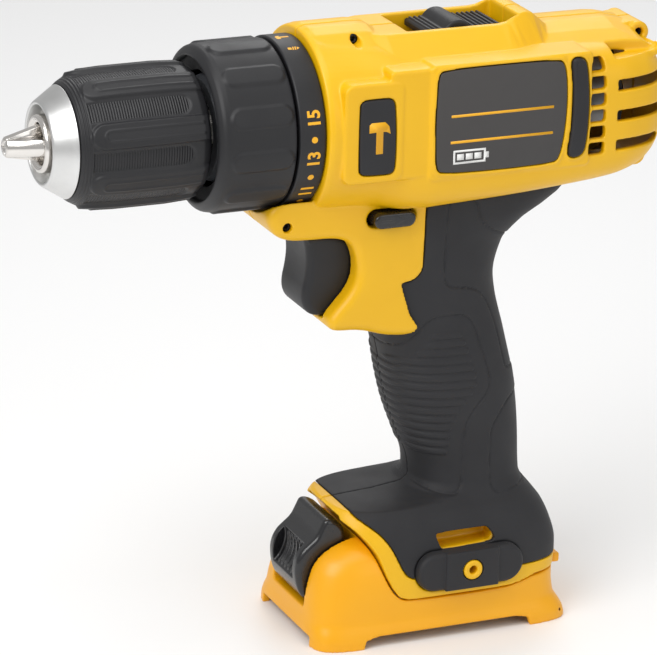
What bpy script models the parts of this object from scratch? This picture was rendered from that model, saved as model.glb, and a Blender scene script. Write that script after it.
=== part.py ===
"""Cordless hammer drill standing on its foot: chuck towards -X, left side towards -Y.

Lengths are in millimetres from the jaw tips (x), the middle plane (y) and the drill axis (z),
and every point is turned to metres in the shared frame as its mesh is made.
"""

import math

import bmesh
import bpy

MM = 0.001
NOSE_X = -101.95
AXIS_Z = 161.0
GAP = 0.3
ORIGIN = (0.0, 0.0, 0.0)
ROUND = 20
FINE = 12

WALL = 2.4
SKIN = 1.5
CORE_INSET = SKIN + GAP
SPLIT = GAP / 2
FLAT_ANGLE = math.radians(0.01)

# Chuck
JAW_R = 3.0
JAW_SLANT = math.radians(15.0)
JAW_LENGTH = 28.0
JAW_OFFSET = -0.1
BORE_R = 5.2
NOSE_RING_R = 8.6
BODY_R = 16.6
LOBES = 8
SCREW_R = 1.2
HEAD_R = 2.1

# Clutch and gears
COLLAR_R = 25.3
BAND_X = (81.1, 89.2)
PADS = 12
SPINDLE_R = 5.0
SPINDLE_NECK_R = 4.2
CARRIER_R = 14.0
PIN_R = 1.6
PLANET_R = 6.2
PLANET_CENTRE = 10.4
SUN_R = PLANET_CENTRE - PLANET_R - GAP
RING_R = PLANET_CENTRE + PLANET_R + GAP
CASE_R = 22.5
MOTOR_R = 18.2
FRONT_STAGE = (93.0, 100.0)
REAR_STAGE = (105.0, 112.0)

# Housing
HOUSING_X = 89.5
FOOT_FLOOR = -147.5
SEAT_FLOOR = FOOT_FLOOR - 1.2
SEAT_HALF = 19.0
DECK_TOP = 28.3
RAIL_TOP = 26.3
WEB_HALF = 16.5
TRIGGER_HALF = 9.6
LEVER = ((107.8, 121.0), (-30.4, -25.6))
LEVER_HALF = 20.0
HOOK_CENTRE = (139.9, -139.2)
HOOK_BOSS_R = 3.1
BLADES_Y = (-6.0, 6.0)
LATCH_HALF = 11.2
BLADE_HALF = 0.5
COLLAR_ROOM_R = COLLAR_R + 0.6
FRONT_VENTS = (-9.7, -4.7, 0.3, 5.3, 10.3, 15.3)
REAR_VENTS = (-9.4, -0.4, 8.8, 18.0)
REAR_SCREWS = ((197.4, 18.9), (198.4, -19.2))
NOSE_SCREW = (81.4, -27.9)
TOP_SCREW = (103.8, 25.2)
TOP_SCREW_REACH = 10.5
REAR_EAR_HALF = 8.8
REAR_EAR_R = 3.4
PLUNGER_Z = -42.0
LATCH_SPRING_Z = -139.0

# x, half width, top, bottom, squareness
BARREL = (
    (89.5, 27.0, 27.5, -27.3, 2.05), (94.0, 27.4, 27.4, -27.6, 2.15), (101.0, 27.3, 26.9, -27.3, 2.25),
    (108.0, 27.3, 26.0, -27.1, 2.5), (112.0, 27.4, 24.6, -27.0, 2.9), (118.0, 27.6, 21.6, -26.6, 3.9),
    (124.0, 27.9, 20.6, -26.0, 4.6), (150.0, 28.1, 20.5, -24.6, 4.8), (171.0, 28.0, 20.4, -23.2, 4.6),
    (184.0, 27.4, 20.2, -22.2, 4.2), (193.0, 25.4, 19.6, -20.8, 3.5), (198.0, 22.6, 18.0, -18.8, 3.0),
    (201.0, 19.0, 15.6, -15.8, 2.7), (202.9, 14.6, 12.0, -11.6, 2.4), (203.8, 8.0, 7.0, -6.4, 2.2),
)
# z, front, rear, half width, squareness
HANDLE = (
    (-16.0, 104.0, 176.0, 18.0, 3.0),
    (-34.0, 105.0, 163.5, 17.0, 3.0),
    (-41.0, 106.0, 156.4, 16.7, 2.8),
    (-51.0, 107.0, 154.2, 16.4, 2.6),
    (-63.0, 112.0, 156.2, 16.3, 2.5),
    (-68.0, 116.4, 157.6, 16.4, 2.5),
    (-83.0, 119.2, 161.6, 16.9, 2.5),
    (-103.0, 126.0, 164.2, 16.2, 2.5),
    (-116.0, 129.4, 164.9, 16.4, 2.6),
    (-119.0, 126.0, 166.0, 17.6, 2.8),
    (-120.6, 101.6, 167.4, 18.6, 3.2),
    (-126.0, 99.6, 171.0, 21.8, 3.6),
    (-131.0, 99.0, 173.0, 23.4, 4.0),
    (-137.0, 99.0, 174.4, 24.6, 4.2),
    (FOOT_FLOOR, 99.0, 173.2, 25.4, 4.6),
)
SHOE = (
    (-129.5, 106.0, 172.6, 15.0, 4.0),
    (-131.5, 100.0, 173.0, 18.6, 4.4),
    (-134.5, 95.6, 173.4, 21.4, 4.8),
    (-139.0, 92.8, 173.4, 23.4, 5.0),
    (-145.0, 91.4, 173.0, 24.6, 5.6),
    (-151.0, 91.0, 172.2, 25.0, 6.0),
    (-155.0, 90.7, 173.4, 25.8, 7.0),
    (-158.0, 90.4, 175.0, 26.6, 8.0),
    (-AXIS_Z, 90.2, 175.6, 26.9, 8.0),
)
WEB = (
    (88.0, -14.0), (78.0, -20.0), (74.8, -24.0), (77.9, -30.3), (82.4, -32.6),
    (95.8, -33.1), (100.3, -34.1), (103.6, -38.1), (104.6, -44.3), (102.6, -50.0),
    (97.3, -56.0), (95.6, -60.2), (98.0, -62.2), (106.0, -62.6), (116.0, -66.0),
    (130.0, -66.0), (130.0, -14.0),
)
GRIP_REGION = (
    (190.0, -19.0), (136.5, -19.0), (130.6, -19.8), (125.6, -24.2), (125.6, -44.8),
    (120.8, -49.5), (108.5, -49.2), (105.0, -51.6), (101.0, -56.0), (98.8, -60.4),
    (90.0, -70.0), (90.0, -119.5), (104.6, -119.5), (105.6, -121.8), (108.6, -124.0),
    (113.8, -128.3), (117.6, -135.9), (119.8, -139.8), (122.6, -141.3), (190.0, -141.3),
)
SHOE_REGION = (
    (80.0, -123.0), (101.6, -123.4), (105.3, -126.6), (110.3, -133.2), (112.9, -139.9),
    (115.9, -145.1), (119.5, -147.8), (152.0, -148.2), (161.7, -145.8), (190.0, -145.4),
    (190.0, -170.0), (80.0, -170.0),
)
FOOT_REGION = (
    (60.0, -10.0), (60.0, -118.0), (100.6, -120.0), (100.8, -122.6), (105.6, -126.3),
    (110.6, -132.9), (113.2, -139.6), (116.2, -144.8), (119.8, -147.4), (152.0, -147.6),
    (161.9, -145.4), (190.0, -145.0), (190.0, -10.0),
)
TRIGGER = (
    (90.6, -34.2), (90.1, -37.1), (90.9, -44.2), (90.0, -52.0), (91.7, -57.0),
    (95.2, -59.0), (99.0, -59.0), (103.0, -55.0), (106.0, -48.0), (106.0, -37.0),
    (102.6, -34.6), (99.0, -34.2),
)
LATCH = (
    (98.6, -123.4), (103.2, -125.2), (105.4, -129.0), (105.4, -149.6), (93.0, -150.2),
    (89.6, -147.0), (88.6, -139.0), (90.6, -133.4), (95.0, -130.8), (96.8, -127.6),
)
LATCH_ROOM = (
    (85.0, -122.9), (101.6, -122.9), (106.4, -124.8), (108.3, -128.6), (108.3, -150.4), (85.0, -150.4),
)
BADGE = (
    (122.6, 17.2), (124.4, 18.9), (161.6, 18.9), (163.2, 17.4), (164.2, 5.0),
    (162.6, -10.8), (161.0, -12.2), (124.4, -12.0), (122.8, -10.4), (122.2, 4.0),
)
BADGE_FRAME = ((121.8, -13.6), (121.6, 20.2), (173.0, 20.0), (174.6, 2.0), (172.6, -12.6))
BUMPER = (
    (165.0, 18.9), (169.8, 18.2), (171.6, 4.0), (170.8, -10.6), (165.4, -11.0),
    (166.2, 4.0),
)
HAMMER_PAD = (
    (98.6, 10.4), (100.0, 11.8), (107.8, 11.8), (109.2, 10.4), (109.8, -9.0),
    (108.4, -10.5), (100.2, -10.3), (98.8, -9.0),
)

LOOKS = {
    "yellow": ((0.93, 0.56, 0.04), 0.0, 0.42),
    "shoe_yellow": ((0.95, 0.52, 0.01), 0.0, 0.45),
    "soft_black": ((0.045, 0.045, 0.05), 0.0, 0.7),
    "hard_black": ((0.03, 0.03, 0.032), 0.0, 0.45),
    "gloss_black": ((0.01, 0.01, 0.012), 0.0, 0.15),
    "badge": ((0.07, 0.06, 0.055), 0.0, 0.5),
    "satin_steel": ((0.65, 0.65, 0.66), 1.0, 0.3),
    "dark_steel": ((0.28, 0.28, 0.3), 1.0, 0.4),
    "brass": ((0.75, 0.55, 0.25), 1.0, 0.35),
    "grey_plastic": ((0.22, 0.23, 0.24), 0.0, 0.5),
    "carbon": ((0.06, 0.06, 0.06), 0.0, 0.7),
}


def clear_scene():
    for item in list(bpy.data.objects):
        bpy.data.objects.remove(item)


def look_named(name):
    """The Principled material of this name."""
    found = bpy.data.materials.get(name)
    if found:
        return found
    colour, metallic, roughness = LOOKS[name]
    made = bpy.data.materials.new(name)
    made.use_nodes = True
    shader = made.node_tree.nodes["Principled BSDF"]
    shader.inputs["Base Color"].default_value = (*colour, 1.0)
    shader.inputs["Metallic"].default_value = metallic
    shader.inputs["Roughness"].default_value = roughness
    return made


def solid(name, points, faces, look=None, pivot=ORIGIN, smooth=False):
    """A closed mesh object with its origin at the pivot. With no look it is a helper that isn't rendered."""
    shape = bmesh.new()
    corners = []
    for point in points:
        corners.append(shape.verts.new([(a - b) * MM for a, b in zip(point, pivot)]))
    for face in faces:
        shape.faces.new([corners[i] for i in face])
    bmesh.ops.connect_verts_nonplanar(shape, angle_limit=FLAT_ANGLE, faces=shape.faces)
    bmesh.ops.recalc_face_normals(shape, faces=shape.faces)
    if shape.calc_volume(signed=True) < 0:
        bmesh.ops.reverse_faces(shape, faces=shape.faces)
    for face in shape.faces:
        face.smooth = smooth
    mesh = bpy.data.meshes.new(name)
    shape.to_mesh(mesh)
    shape.free()
    made = bpy.data.objects.new(name, mesh)
    made.location = ((pivot[0] + NOSE_X) * MM, pivot[1] * MM, (pivot[2] + AXIS_Z) * MM)
    bpy.context.scene.collection.objects.link(made)
    if look:
        mesh.materials.append(look_named(look))
    else:
        made.hide_render = True
        made.display_type = "WIRE"
    return made


def combine(target, other, operation):
    """Adds an exact Boolean of the other object."""
    step = target.modifiers.new(other.name, "BOOLEAN")
    step.operation = operation
    step.solver = "EXACT"
    step.object = other
    return target


def cut(target, *others):
    for other in others:
        combine(target, other, "DIFFERENCE")
    return target


def join(target, *others):
    for other in others:
        combine(target, other, "UNION")
    return target


def keep(target, other):
    return combine(target, other, "INTERSECT")


def loft(name, rings, look=None, pivot=ORIGIN, smooth=True):
    """A skin through closed rings of the same count, capped at both ends."""
    count = len(rings[0])
    points = [point for ring in rings for point in ring]
    faces = []
    for row in range(len(rings) - 1):
        for i in range(count):
            j = (i + 1) % count
            here, there = row * count, (row + 1) * count
            faces.append((here + i, here + j, there + j, there + i))
    faces.append(tuple(range(count)))
    faces.append(tuple((len(rings) - 1) * count + i for i in range(count)))
    return solid(name, points, faces, look, pivot, smooth)


def lathe(name, profile, look=None, steps=ROUND, pivot=ORIGIN, centre=(0.0, 0.0), turn=0.0):
    """A closed profile of (x, radius) turned about an axis along x at the centre (y, z)."""
    points, rows = [], []
    for x, radius in profile:
        if radius == 0:
            rows.append([len(points)] * steps)
            points.append((x, centre[0], centre[1]))
            continue
        rows.append(list(range(len(points), len(points) + steps)))
        for i in range(steps):
            angle = math.tau * i / steps + turn
            side = centre[0] + radius * math.sin(angle)
            points.append((x, side, centre[1] + radius * math.cos(angle)))
    faces = []
    for row, after in zip(rows, rows[1:] + rows[:1]):
        for i in range(steps):
            j = (i + 1) % steps
            corners = list(dict.fromkeys((row[i], row[j], after[j], after[i])))
            if len(corners) > 2:
                faces.append(corners)
    return solid(name, points, faces, look, pivot, True)


def tube(name, span, inner, outer, look=None, steps=ROUND, pivot=ORIGIN):
    """A plain ring about the drill axis."""
    profile = ((span[0], inner), (span[0], outer), (span[1], outer), (span[1], inner))
    return lathe(name, profile, look, steps, pivot)


def prism(name, outline, y_span, look=None, pivot=ORIGIN):
    """An outline in the x-z plane drawn out along y."""
    rings = [[(x, y, z) for x, z in outline] for y in y_span]
    return loft(name, rings, look, pivot, False)


def pillow(name, outline, half, edge, look=None, pivot=ORIGIN):
    """An outline drawn out along y, with its two rims chamfered."""
    rings = []
    for y, by in ((-half, -edge), (edge - half, 0.0), (half - edge, 0.0), (half, -edge)):
        rings.append([(x, y, z) for x, z in grown(outline, by)])
    return loft(name, rings, look, pivot, False)


def block(name, x_span, y_span, z_span, look=None, pivot=ORIGIN):
    (x0, x1), (z0, z1) = x_span, z_span
    return prism(name, ((x0, z0), (x1, z0), (x1, z1), (x0, z1)), y_span, look, pivot)


def pin(name, centre, y_span, radius, look=None, steps=FINE, pivot=ORIGIN):
    """A round pin along y at the centre (x, z)."""
    outline = circle(centre, radius, steps)
    made = prism(name, outline, y_span, look, pivot)
    return made


def circle(centre, radius, steps):
    found = []
    for i in range(steps):
        angle = math.tau * i / steps
        found.append((centre[0] + radius * math.cos(angle), centre[1] + radius * math.sin(angle)))
    return tuple(found)


def stadium(centre, half_length, radius, steps=8):
    """The outline of a slot with round ends, level in x."""
    found = []
    for side, start in ((1, -90), (-1, 90)):
        for i in range(steps + 1):
            angle = math.radians(start + 180 * i / steps)
            across = side * (half_length - radius) + radius * math.cos(angle)
            found.append((centre[0] + across, centre[1] + radius * math.sin(angle)))
    return tuple(found)


def grown(outline, by):
    """The outline with each corner moved out along the mean of its two edges' normals."""
    area = 0.0
    count = len(outline)
    for i, (x, z) in enumerate(outline):
        after = outline[(i + 1) % count]
        area += x * after[1] - after[0] * z
    way = 1.0 if area > 0 else -1.0
    found = []
    for i, (x, z) in enumerate(outline):
        before, after = outline[i - 1], outline[(i + 1) % count]
        ax, az = x - before[0], z - before[1]
        bx, bz = after[0] - x, after[1] - z
        la, lb = math.hypot(ax, az), math.hypot(bx, bz)
        nx, nz = az / la + bz / lb, -ax / la - bx / lb
        scale = way * by * 2 / max(nx * nx + nz * nz, 0.8)
        found.append((x + nx * scale, z + nz * scale))
    return tuple(found)


def rounded(half_a, half_b, power, count):
    """Points of a superellipse, spread evenly by angle."""
    found = []
    for i in range(count):
        angle = math.tau * (i + 0.5) / count
        c, s = math.cos(angle), math.sin(angle)
        a = math.copysign(abs(c) ** (2 / power), c) * half_a
        b = math.copysign(abs(s) ** (2 / power), s) * half_b
        found.append((a, b))
    return found


def barrel_solid(name, inset, ends, count=ROUND):
    """The motor housing's round-cornered tube, made smaller by the inset."""
    rings = []
    for x, half, top, bottom, power in BARREL:
        if not ends[0] <= x <= ends[1]:
            continue
        middle, tall = (top + bottom) / 2, (top - bottom) / 2
        flat = rounded(max(half - inset, 2.0), max(tall - inset, 2.0), power, count)
        rings.append([(x, a, middle + b) for a, b in flat])
    rings[0] = [(rings[0][0][0] + max(inset, 0), y, z) for _, y, z in rings[0]]
    rings[-1] = [(rings[-1][0][0] - max(inset, 0) / 2, y, z) for _, y, z in rings[-1]]
    return loft(name, rings)


def column_solid(name, table, inset, count=ROUND, look=None):
    """The handle or the shoe as level slices, made smaller by the inset."""
    rings = []
    for z, front, rear, half, power in table:
        middle, long = (front + rear) / 2, (rear - front) / 2
        flat = rounded(long - inset, half - inset, power, count)
        rings.append([(middle + a, b, z) for a, b in flat])
    return loft(name, rings, look)


def make_chuck():
    """Keyless chuck: body, sleeve, nose cone, nut, jaws and the screw that holds it on the spindle."""
    slope = math.tan(JAW_SLANT)
    profile = (
        (9.6, 7.8), (10.4, NOSE_RING_R), (23.6, NOSE_RING_R), (23.6, 8.3), (31.0, 8.3),
        (31.0, BODY_R), (55.8, BODY_R), (55.8, SPINDLE_R + GAP), (49.7, SPINDLE_R + GAP),
        (49.7, 2.6), (46.0, 2.6), (46.0, BORE_R), (9.6, BORE_R),
    )
    body = lathe("chuck_body", profile, "satin_steel")
    for i in range(3):
        cut(body, slanted_rod(f"jaw_way_{i}", i, JAW_R + GAP, (-4.0, 52.0)))
    thread_r = JAW_OFFSET + JAW_R + GAP * 1.2
    nut = ((24.0, thread_r + 24.0 * slope), (24.0, 17.8), (30.6, 17.8), (30.6, thread_r + 30.6 * slope))
    lathe("jaw_nut", nut, "dark_steel")
    cone = ((10.5, 11.6), (10.5, 12.4), (17.1, 16.6), (17.1, 15.2), (20.4, 15.2), (20.4, 9.0), (17.6, 9.0), (12.4, 11.0))
    lathe("chuck_nose_cone", cone, "satin_steel")
    make_sleeve()
    for i in range(3):
        make_jaw(i)
    head = ((42.4, 0.0), (42.4, 3.4), (45.7, 4.4), (45.7, 2.2), (56.0, 2.2), (56.0, 0.0))
    lathe("chuck_screw", head, "dark_steel", FINE)


def slanted_rod(name, index, radius, reach, look=None, pivot=ORIGIN):
    """A rod along one jaw's slanted way, from and to these distances along x."""
    angle = math.tau * index / 3 + math.pi / 6
    slope = math.tan(JAW_SLANT)
    rings = []
    for x in reach:
        away = JAW_OFFSET + x * slope
        ring = []
        for i in range(16):
            turn = math.tau * i / 16
            up = away + radius * math.cos(turn)
            side = radius * math.sin(turn)
            y = up * math.sin(angle) + side * math.cos(angle)
            z = up * math.cos(angle) - side * math.sin(angle)
            ring.append((x, y, z))
        rings.append(ring)
    return loft(name, rings, look, pivot)


def make_jaw(index):
    """One jaw: a slanted rod with flats that meet its neighbours on the drill axis."""
    angle = math.tau * index / 3 + math.pi / 6
    jaw = slanted_rod(f"jaw_{index + 1}", index, JAW_R, (0.0, JAW_LENGTH), "satin_steel")
    ring = []
    half = math.radians(60.0)
    start = GAP / 2 / math.sin(half)
    for away, turn in ((start, 0.0), (30.0, half), (34.0, 0.0), (30.0, -half)):
        ring.append((away * math.cos(turn), away * math.sin(turn)))
    ring[1] = (ring[1][0] + start, ring[1][1])
    ring[3] = (ring[3][0] + start, ring[3][1])
    rings = []
    for x in (-2.0, JAW_LENGTH + 2.0):
        row = []
        for up, side in ring:
            y = up * math.sin(angle) + side * math.cos(angle)
            z = up * math.cos(angle) - side * math.sin(angle)
            row.append((x, y, z))
        rings.append(row)
    keep(jaw, loft(f"jaw_sector_{index}", rings, None, ORIGIN, False))


def make_sleeve():
    """Black sleeve with eight low finger lobes, turning on the body."""
    outer = ((17.5, 15.8), (17.5, 17.0), (20.4, 18.9), (30.0, 20.1), (46.0, 20.3), (54.6, 19.6), (56.5, 18.4))
    inner = ((56.5, 17.0), (31.2, 17.0), (31.0, 18.1), (23.6, 18.1), (20.9, 15.8))
    steps = LOBES * 4
    points, rows = [], []
    for x, radius in outer + inner:
        raised = radius > 18.2 and 19.0 < x < 56.0
        rows.append(list(range(len(points), len(points) + steps)))
        for i in range(steps):
            lobe = 0.5 + 0.5 * math.cos(math.tau * i * LOBES / steps)
            here = radius + (0.9 * lobe - 0.7 if raised else 0.0)
            angle = math.tau * i / steps
            points.append((x, here * math.sin(angle), here * math.cos(angle)))
    faces = []
    for row, after in zip(rows, rows[1:] + rows[:1]):
        for i in range(steps):
            j = (i + 1) % steps
            faces.append((row[i], row[j], after[j], after[i]))
    solid("chuck_sleeve", points, faces, "hard_black", ORIGIN, True)


def make_clutch():
    """Torque collar and its numbered band, the spring that they press, and its ring."""
    profile = (
        (57.0, 22.2), (58.7, 24.2), (61.0, COLLAR_R - 0.6), (80.5, COLLAR_R - 0.6), (80.5, 23.2),
        (62.0, 23.2), (62.0, 17.2), (60.0, 17.2), (60.0, 22.2),
    )
    collar = lathe("clutch_collar", profile, "hard_black", PADS * 3)
    for i in range(PADS):
        angle = math.tau * (i + 0.3) / PADS
        rings = []
        for x in (61.5, 79.6):
            row = []
            for up, side in ((24.0, -3.3), (COLLAR_R - 0.2, -3.3), (COLLAR_R, 0.0), (COLLAR_R - 0.2, 3.3), (24.0, 3.3)):
                y = up * math.sin(angle) + side * math.cos(angle)
                row.append((x, y, up * math.cos(angle) - side * math.sin(angle)))
            rings.append(row)
        join(collar, loft(f"collar_pad_{i}", rings, None, ORIGIN, False))
    tube("number_band", BAND_X, 23.0, COLLAR_R + 0.1, "hard_black")
    tube("clutch_pressure_ring", (82.0, 84.4), 16.4, 22.4, "dark_steel")
    coil("clutch_spring", (63.8, 80.4), 19.2, 1.1, 4.0, "dark_steel")


def coil(name, span, radius, wire, turns, look, centre=(0.0, 0.0)):
    """A round-wire spring whose wire stays inside the span."""
    sides, steps = 5, int(turns * 10)
    rings = []
    start, length = span[0] + wire, span[1] - span[0] - 2 * wire
    rise = length / (math.tau * turns)
    lean = math.hypot(rise, radius)
    for i in range(steps + 1):
        angle = math.tau * turns * i / steps
        along = start + length * i / steps
        ring = []
        for k in range(sides):
            turn = math.tau * k / sides
            away = radius + wire * math.cos(turn)
            lift = wire * math.sin(turn) * radius / lean
            slip = -wire * math.sin(turn) * rise / lean
            a = away * math.sin(angle) + slip * math.cos(angle)
            b = away * math.cos(angle) - slip * math.sin(angle)
            ring.append((along + lift, centre[0] + a, centre[1] + b))
        rings.append(ring)
    return loft(name, rings, look)


def make_spindle():
    """Output spindle, its bearing, and the two ratchet discs that make the hammer blows."""
    profile = (
        (50.0, 2.5), (50.0, SPINDLE_R), (86.0, SPINDLE_R), (86.0, SPINDLE_NECK_R), (91.8, SPINDLE_NECK_R), (91.8, 0.0),
        (57.0, 0.0), (57.0, 2.5),
    )
    lathe("output_spindle", profile, "satin_steel", FINE)
    tube("front_bearing", (61.0, 67.0), SPINDLE_R + GAP, 11.0, "satin_steel", FINE)
    ratchet("hammer_ratchet_turning", (70.0, 73.0), 1.0, SPINDLE_R + GAP, 11.6)
    ratchet("hammer_ratchet_fixed", (78.6, 75.6), -1.0, 7.0, 13.6)


def ratchet(name, span, way, inner, outer):
    """A disc with twelve low sloped teeth on its face."""
    steps = 24
    points, rows = [], []
    for x, radius, toothed in ((span[0], inner, 0), (span[0], outer, 0), (span[1], outer, 1), (span[1], inner, 1)):
        rows.append(list(range(len(points), len(points) + steps)))
        for i in range(steps):
            angle = math.tau * i / steps
            height = way * 0.9 * (i % 2) * toothed
            points.append((x + height, radius * math.sin(angle), radius * math.cos(angle)))
    faces = []
    for row, after in zip(rows, rows[1:] + rows[:1]):
        for i in range(steps):
            j = (i + 1) % steps
            faces.append((row[i], row[j], after[j], after[i]))
    solid(name, points, faces, "dark_steel", ORIGIN, False)


def make_gearbox():
    """Case with a narrow nose, and two planetary stages inside it."""
    profile = (
        (59.6, 11.3), (59.6, 15.0), (62.6, 16.0), (85.2, 16.0), (85.2, 20.0), (86.0, CASE_R), (118.0, CASE_R),
        (118.0, 5.4), (114.4, 5.4), (114.4, 20.6), (88.4, 20.6), (88.4, 14.0), (67.3, 14.0), (67.3, 11.3),
    )
    lathe("gearbox_case", profile, "grey_plastic")
    carrier("carrier_front", (88.8, 92.4), FRONT_STAGE[1], SPINDLE_NECK_R + GAP)
    carrier("carrier_rear", (101.2, 104.2), REAR_STAGE[1], 0.0, FRONT_STAGE[0] - GAP)
    for stage, span in (("front", FRONT_STAGE), ("rear", REAR_STAGE)):
        tube(f"ring_gear_{stage}", (span[0] - GAP, span[1] + 2 * GAP), RING_R, 20.2, "dark_steel")
        for i in range(3):
            make_planet(f"planet_{stage}_{i + 1}", span, math.tau * i / 3)


def planet_centre(angle):
    return (PLANET_CENTRE * math.sin(angle), PLANET_CENTRE * math.cos(angle))


def make_planet(name, span, angle):
    centre = planet_centre(angle)
    bore = PIN_R + GAP
    profile = ((span[0], bore), (span[0], PLANET_R), (span[1], PLANET_R), (span[1], bore))
    pivot = ((span[0] + span[1]) / 2, *centre)
    lathe(name, profile, "dark_steel", FINE, pivot, centre)


def carrier(name, span, reach, bore=0.0, sun_start=0.0):
    """A disc with three pins for its planets. With no bore it has the sun gear of the stage ahead in front."""
    if bore:
        disc = tube(name, span, bore, CARRIER_R, "dark_steel", FINE)
    else:
        profile = (
            (sun_start, 0.0), (sun_start, SUN_R), (span[0], SUN_R), (span[0], CARRIER_R), (span[1], CARRIER_R),
            (span[1], 0.0),
        )
        disc = lathe(name, profile, "dark_steel", FINE)
    for i in range(3):
        centre = planet_centre(math.tau * i / 3)
        low = (span[0] + span[1]) / 2
        profile = ((low, 0.0), (low, PIN_R), (reach, PIN_R), (reach, 0.0))
        join(disc, lathe(f"{name}_pin_{i}", profile, None, 12, ORIGIN, centre))


def make_motor():
    """Brushed motor: can, end cap, rotor with its pinion, and two carbon brushes."""
    can = (
        (118.4, 6.2), (118.4, MOTOR_R), (184.4, MOTOR_R), (184.4, 16.8), (120.2, 16.8), (120.2, 6.2),
    )
    lathe("motor_can", can, "satin_steel")
    cap = (
        (184.7, 16.2), (184.7, MOTOR_R), (188.0, MOTOR_R), (190.2, 14.6), (190.2, 2.4), (188.6, 2.4),
        (188.6, 12.8), (187.0, 16.2),
    )
    lathe("motor_end_cap", cap, "hard_black")
    rotor = (
        (104.9, 0.0), (104.9, SUN_R), (113.6, SUN_R), (113.6, 2.0), (124.0, 2.0), (124.0, 15.0), (158.0, 15.0),
        (158.0, 5.0), (161.0, 5.0), (161.0, 15.6), (163.0, 15.6), (163.0, 5.0), (177.0, 5.0), (177.0, 6.2),
        (186.0, 6.2), (186.0, 2.0), (190.6, 2.0), (190.6, 0.0),
    )
    lathe("rotor", rotor, "dark_steel", FINE)
    for side, sign in (("left", -1), ("right", 1)):
        block(f"brush_{side}", (178.6, 184.2), (sign * 6.6, sign * 13.6), (-2.4, 2.4), "carbon")


def vent_cutters():
    """Two columns of level openings at the rear: short ones in front, long louvres behind."""
    found = []
    for i, z in enumerate(FRONT_VENTS):
        found.append(block(f"vent_front_{i}", (172.8, 177.6), (-40.0, 40.0), (z - 1.9, z + 1.9)))
    for i, z in enumerate(REAR_VENTS):
        found.append(block(f"vent_rear_{i}", (181.8, 199.0), (-40.0, 40.0), (z - 1.6, z + 1.6)))
    return found


def ridge(name, stations, fall, skirt, foot):
    """A raised form along the top: a flat crest, a shoulder one step down, and a slope to its foot on each side."""
    rings = []
    for x, half, top in stations:
        side = ((half + fall + skirt, foot - 4.0), (half + fall + skirt, foot), (half + fall, top - fall * 0.25), (half, top))
        left = [(x, -across, up) for across, up in side]
        rings.append(left + [(x, across, up) for across, up in side[::-1]])
    return loft(name, rings, None, ORIGIN, False)


def housing_outer():
    """The full outside of the yellow housing, before it is hollowed and split."""
    outer = barrel_solid("housing_outer", 0.0, (0.0, 300.0))
    join(outer, ridge("top_deck", (
        (HOUSING_X + 0.4, 3.0, DECK_TOP - 0.8), (92.0, 3.4, DECK_TOP), (108.0, 3.4, DECK_TOP), (112.4, 3.0, DECK_TOP - 1.6),
    ), 5.0, 9.0, 22.0))
    join(outer, ridge("selector_rail", (
        (110.0, 10.0, RAIL_TOP), (113.0, 11.2, RAIL_TOP), (150.0, 11.2, RAIL_TOP), (154.0, 10.4, 27.4),
        (158.0, 8.6, 28.8), (161.6, 7.6, 28.2), (165.0, 6.0, 25.6), (168.0, 5.0, 23.0),
    ), 0.6, 9.0, 19.4))
    join(outer, ridge("rear_crown", (
        (158.0, 4.0, 23.9), (188.0, 4.0, 23.7), (194.0, 3.6, 22.4), (199.0, 3.0, 19.4),
    ), 7.0, 9.0, 18.6))
    web = pillow("web", WEB, WEB_HALF, 1.6)
    join(outer, cut(web, tube("collar_room", (50.0, HOUSING_X), 0.5, COLLAR_ROOM_R)))
    for side in (-1, 1):
        join(outer, block(f"pad_frame_{side}", (94.0, 120.6), (side * 18.0, side * 27.6), (-13.0, 16.8)))
        join(outer, prism(f"badge_frame_{side}", BADGE_FRAME, (side * 18.0, side * 28.2)))
    for i, centre in enumerate(REAR_SCREWS):
        join(outer, pin(f"rear_boss_{i}", centre, (-REAR_EAR_HALF, REAR_EAR_HALF), REAR_EAR_R, None, 16))
    return outer


def trigger_room():
    """Where the trigger travels inside the web."""
    outline = (
        (88.0, -33.4), (113.0, -33.4), (113.0, -48.0), (109.6, -55.4), (106.0, -59.4), (88.0, -59.4),
    )
    return prism("trigger_room", outline, (-TRIGGER_HALF - 0.4, TRIGGER_HALF + 0.4))


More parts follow.
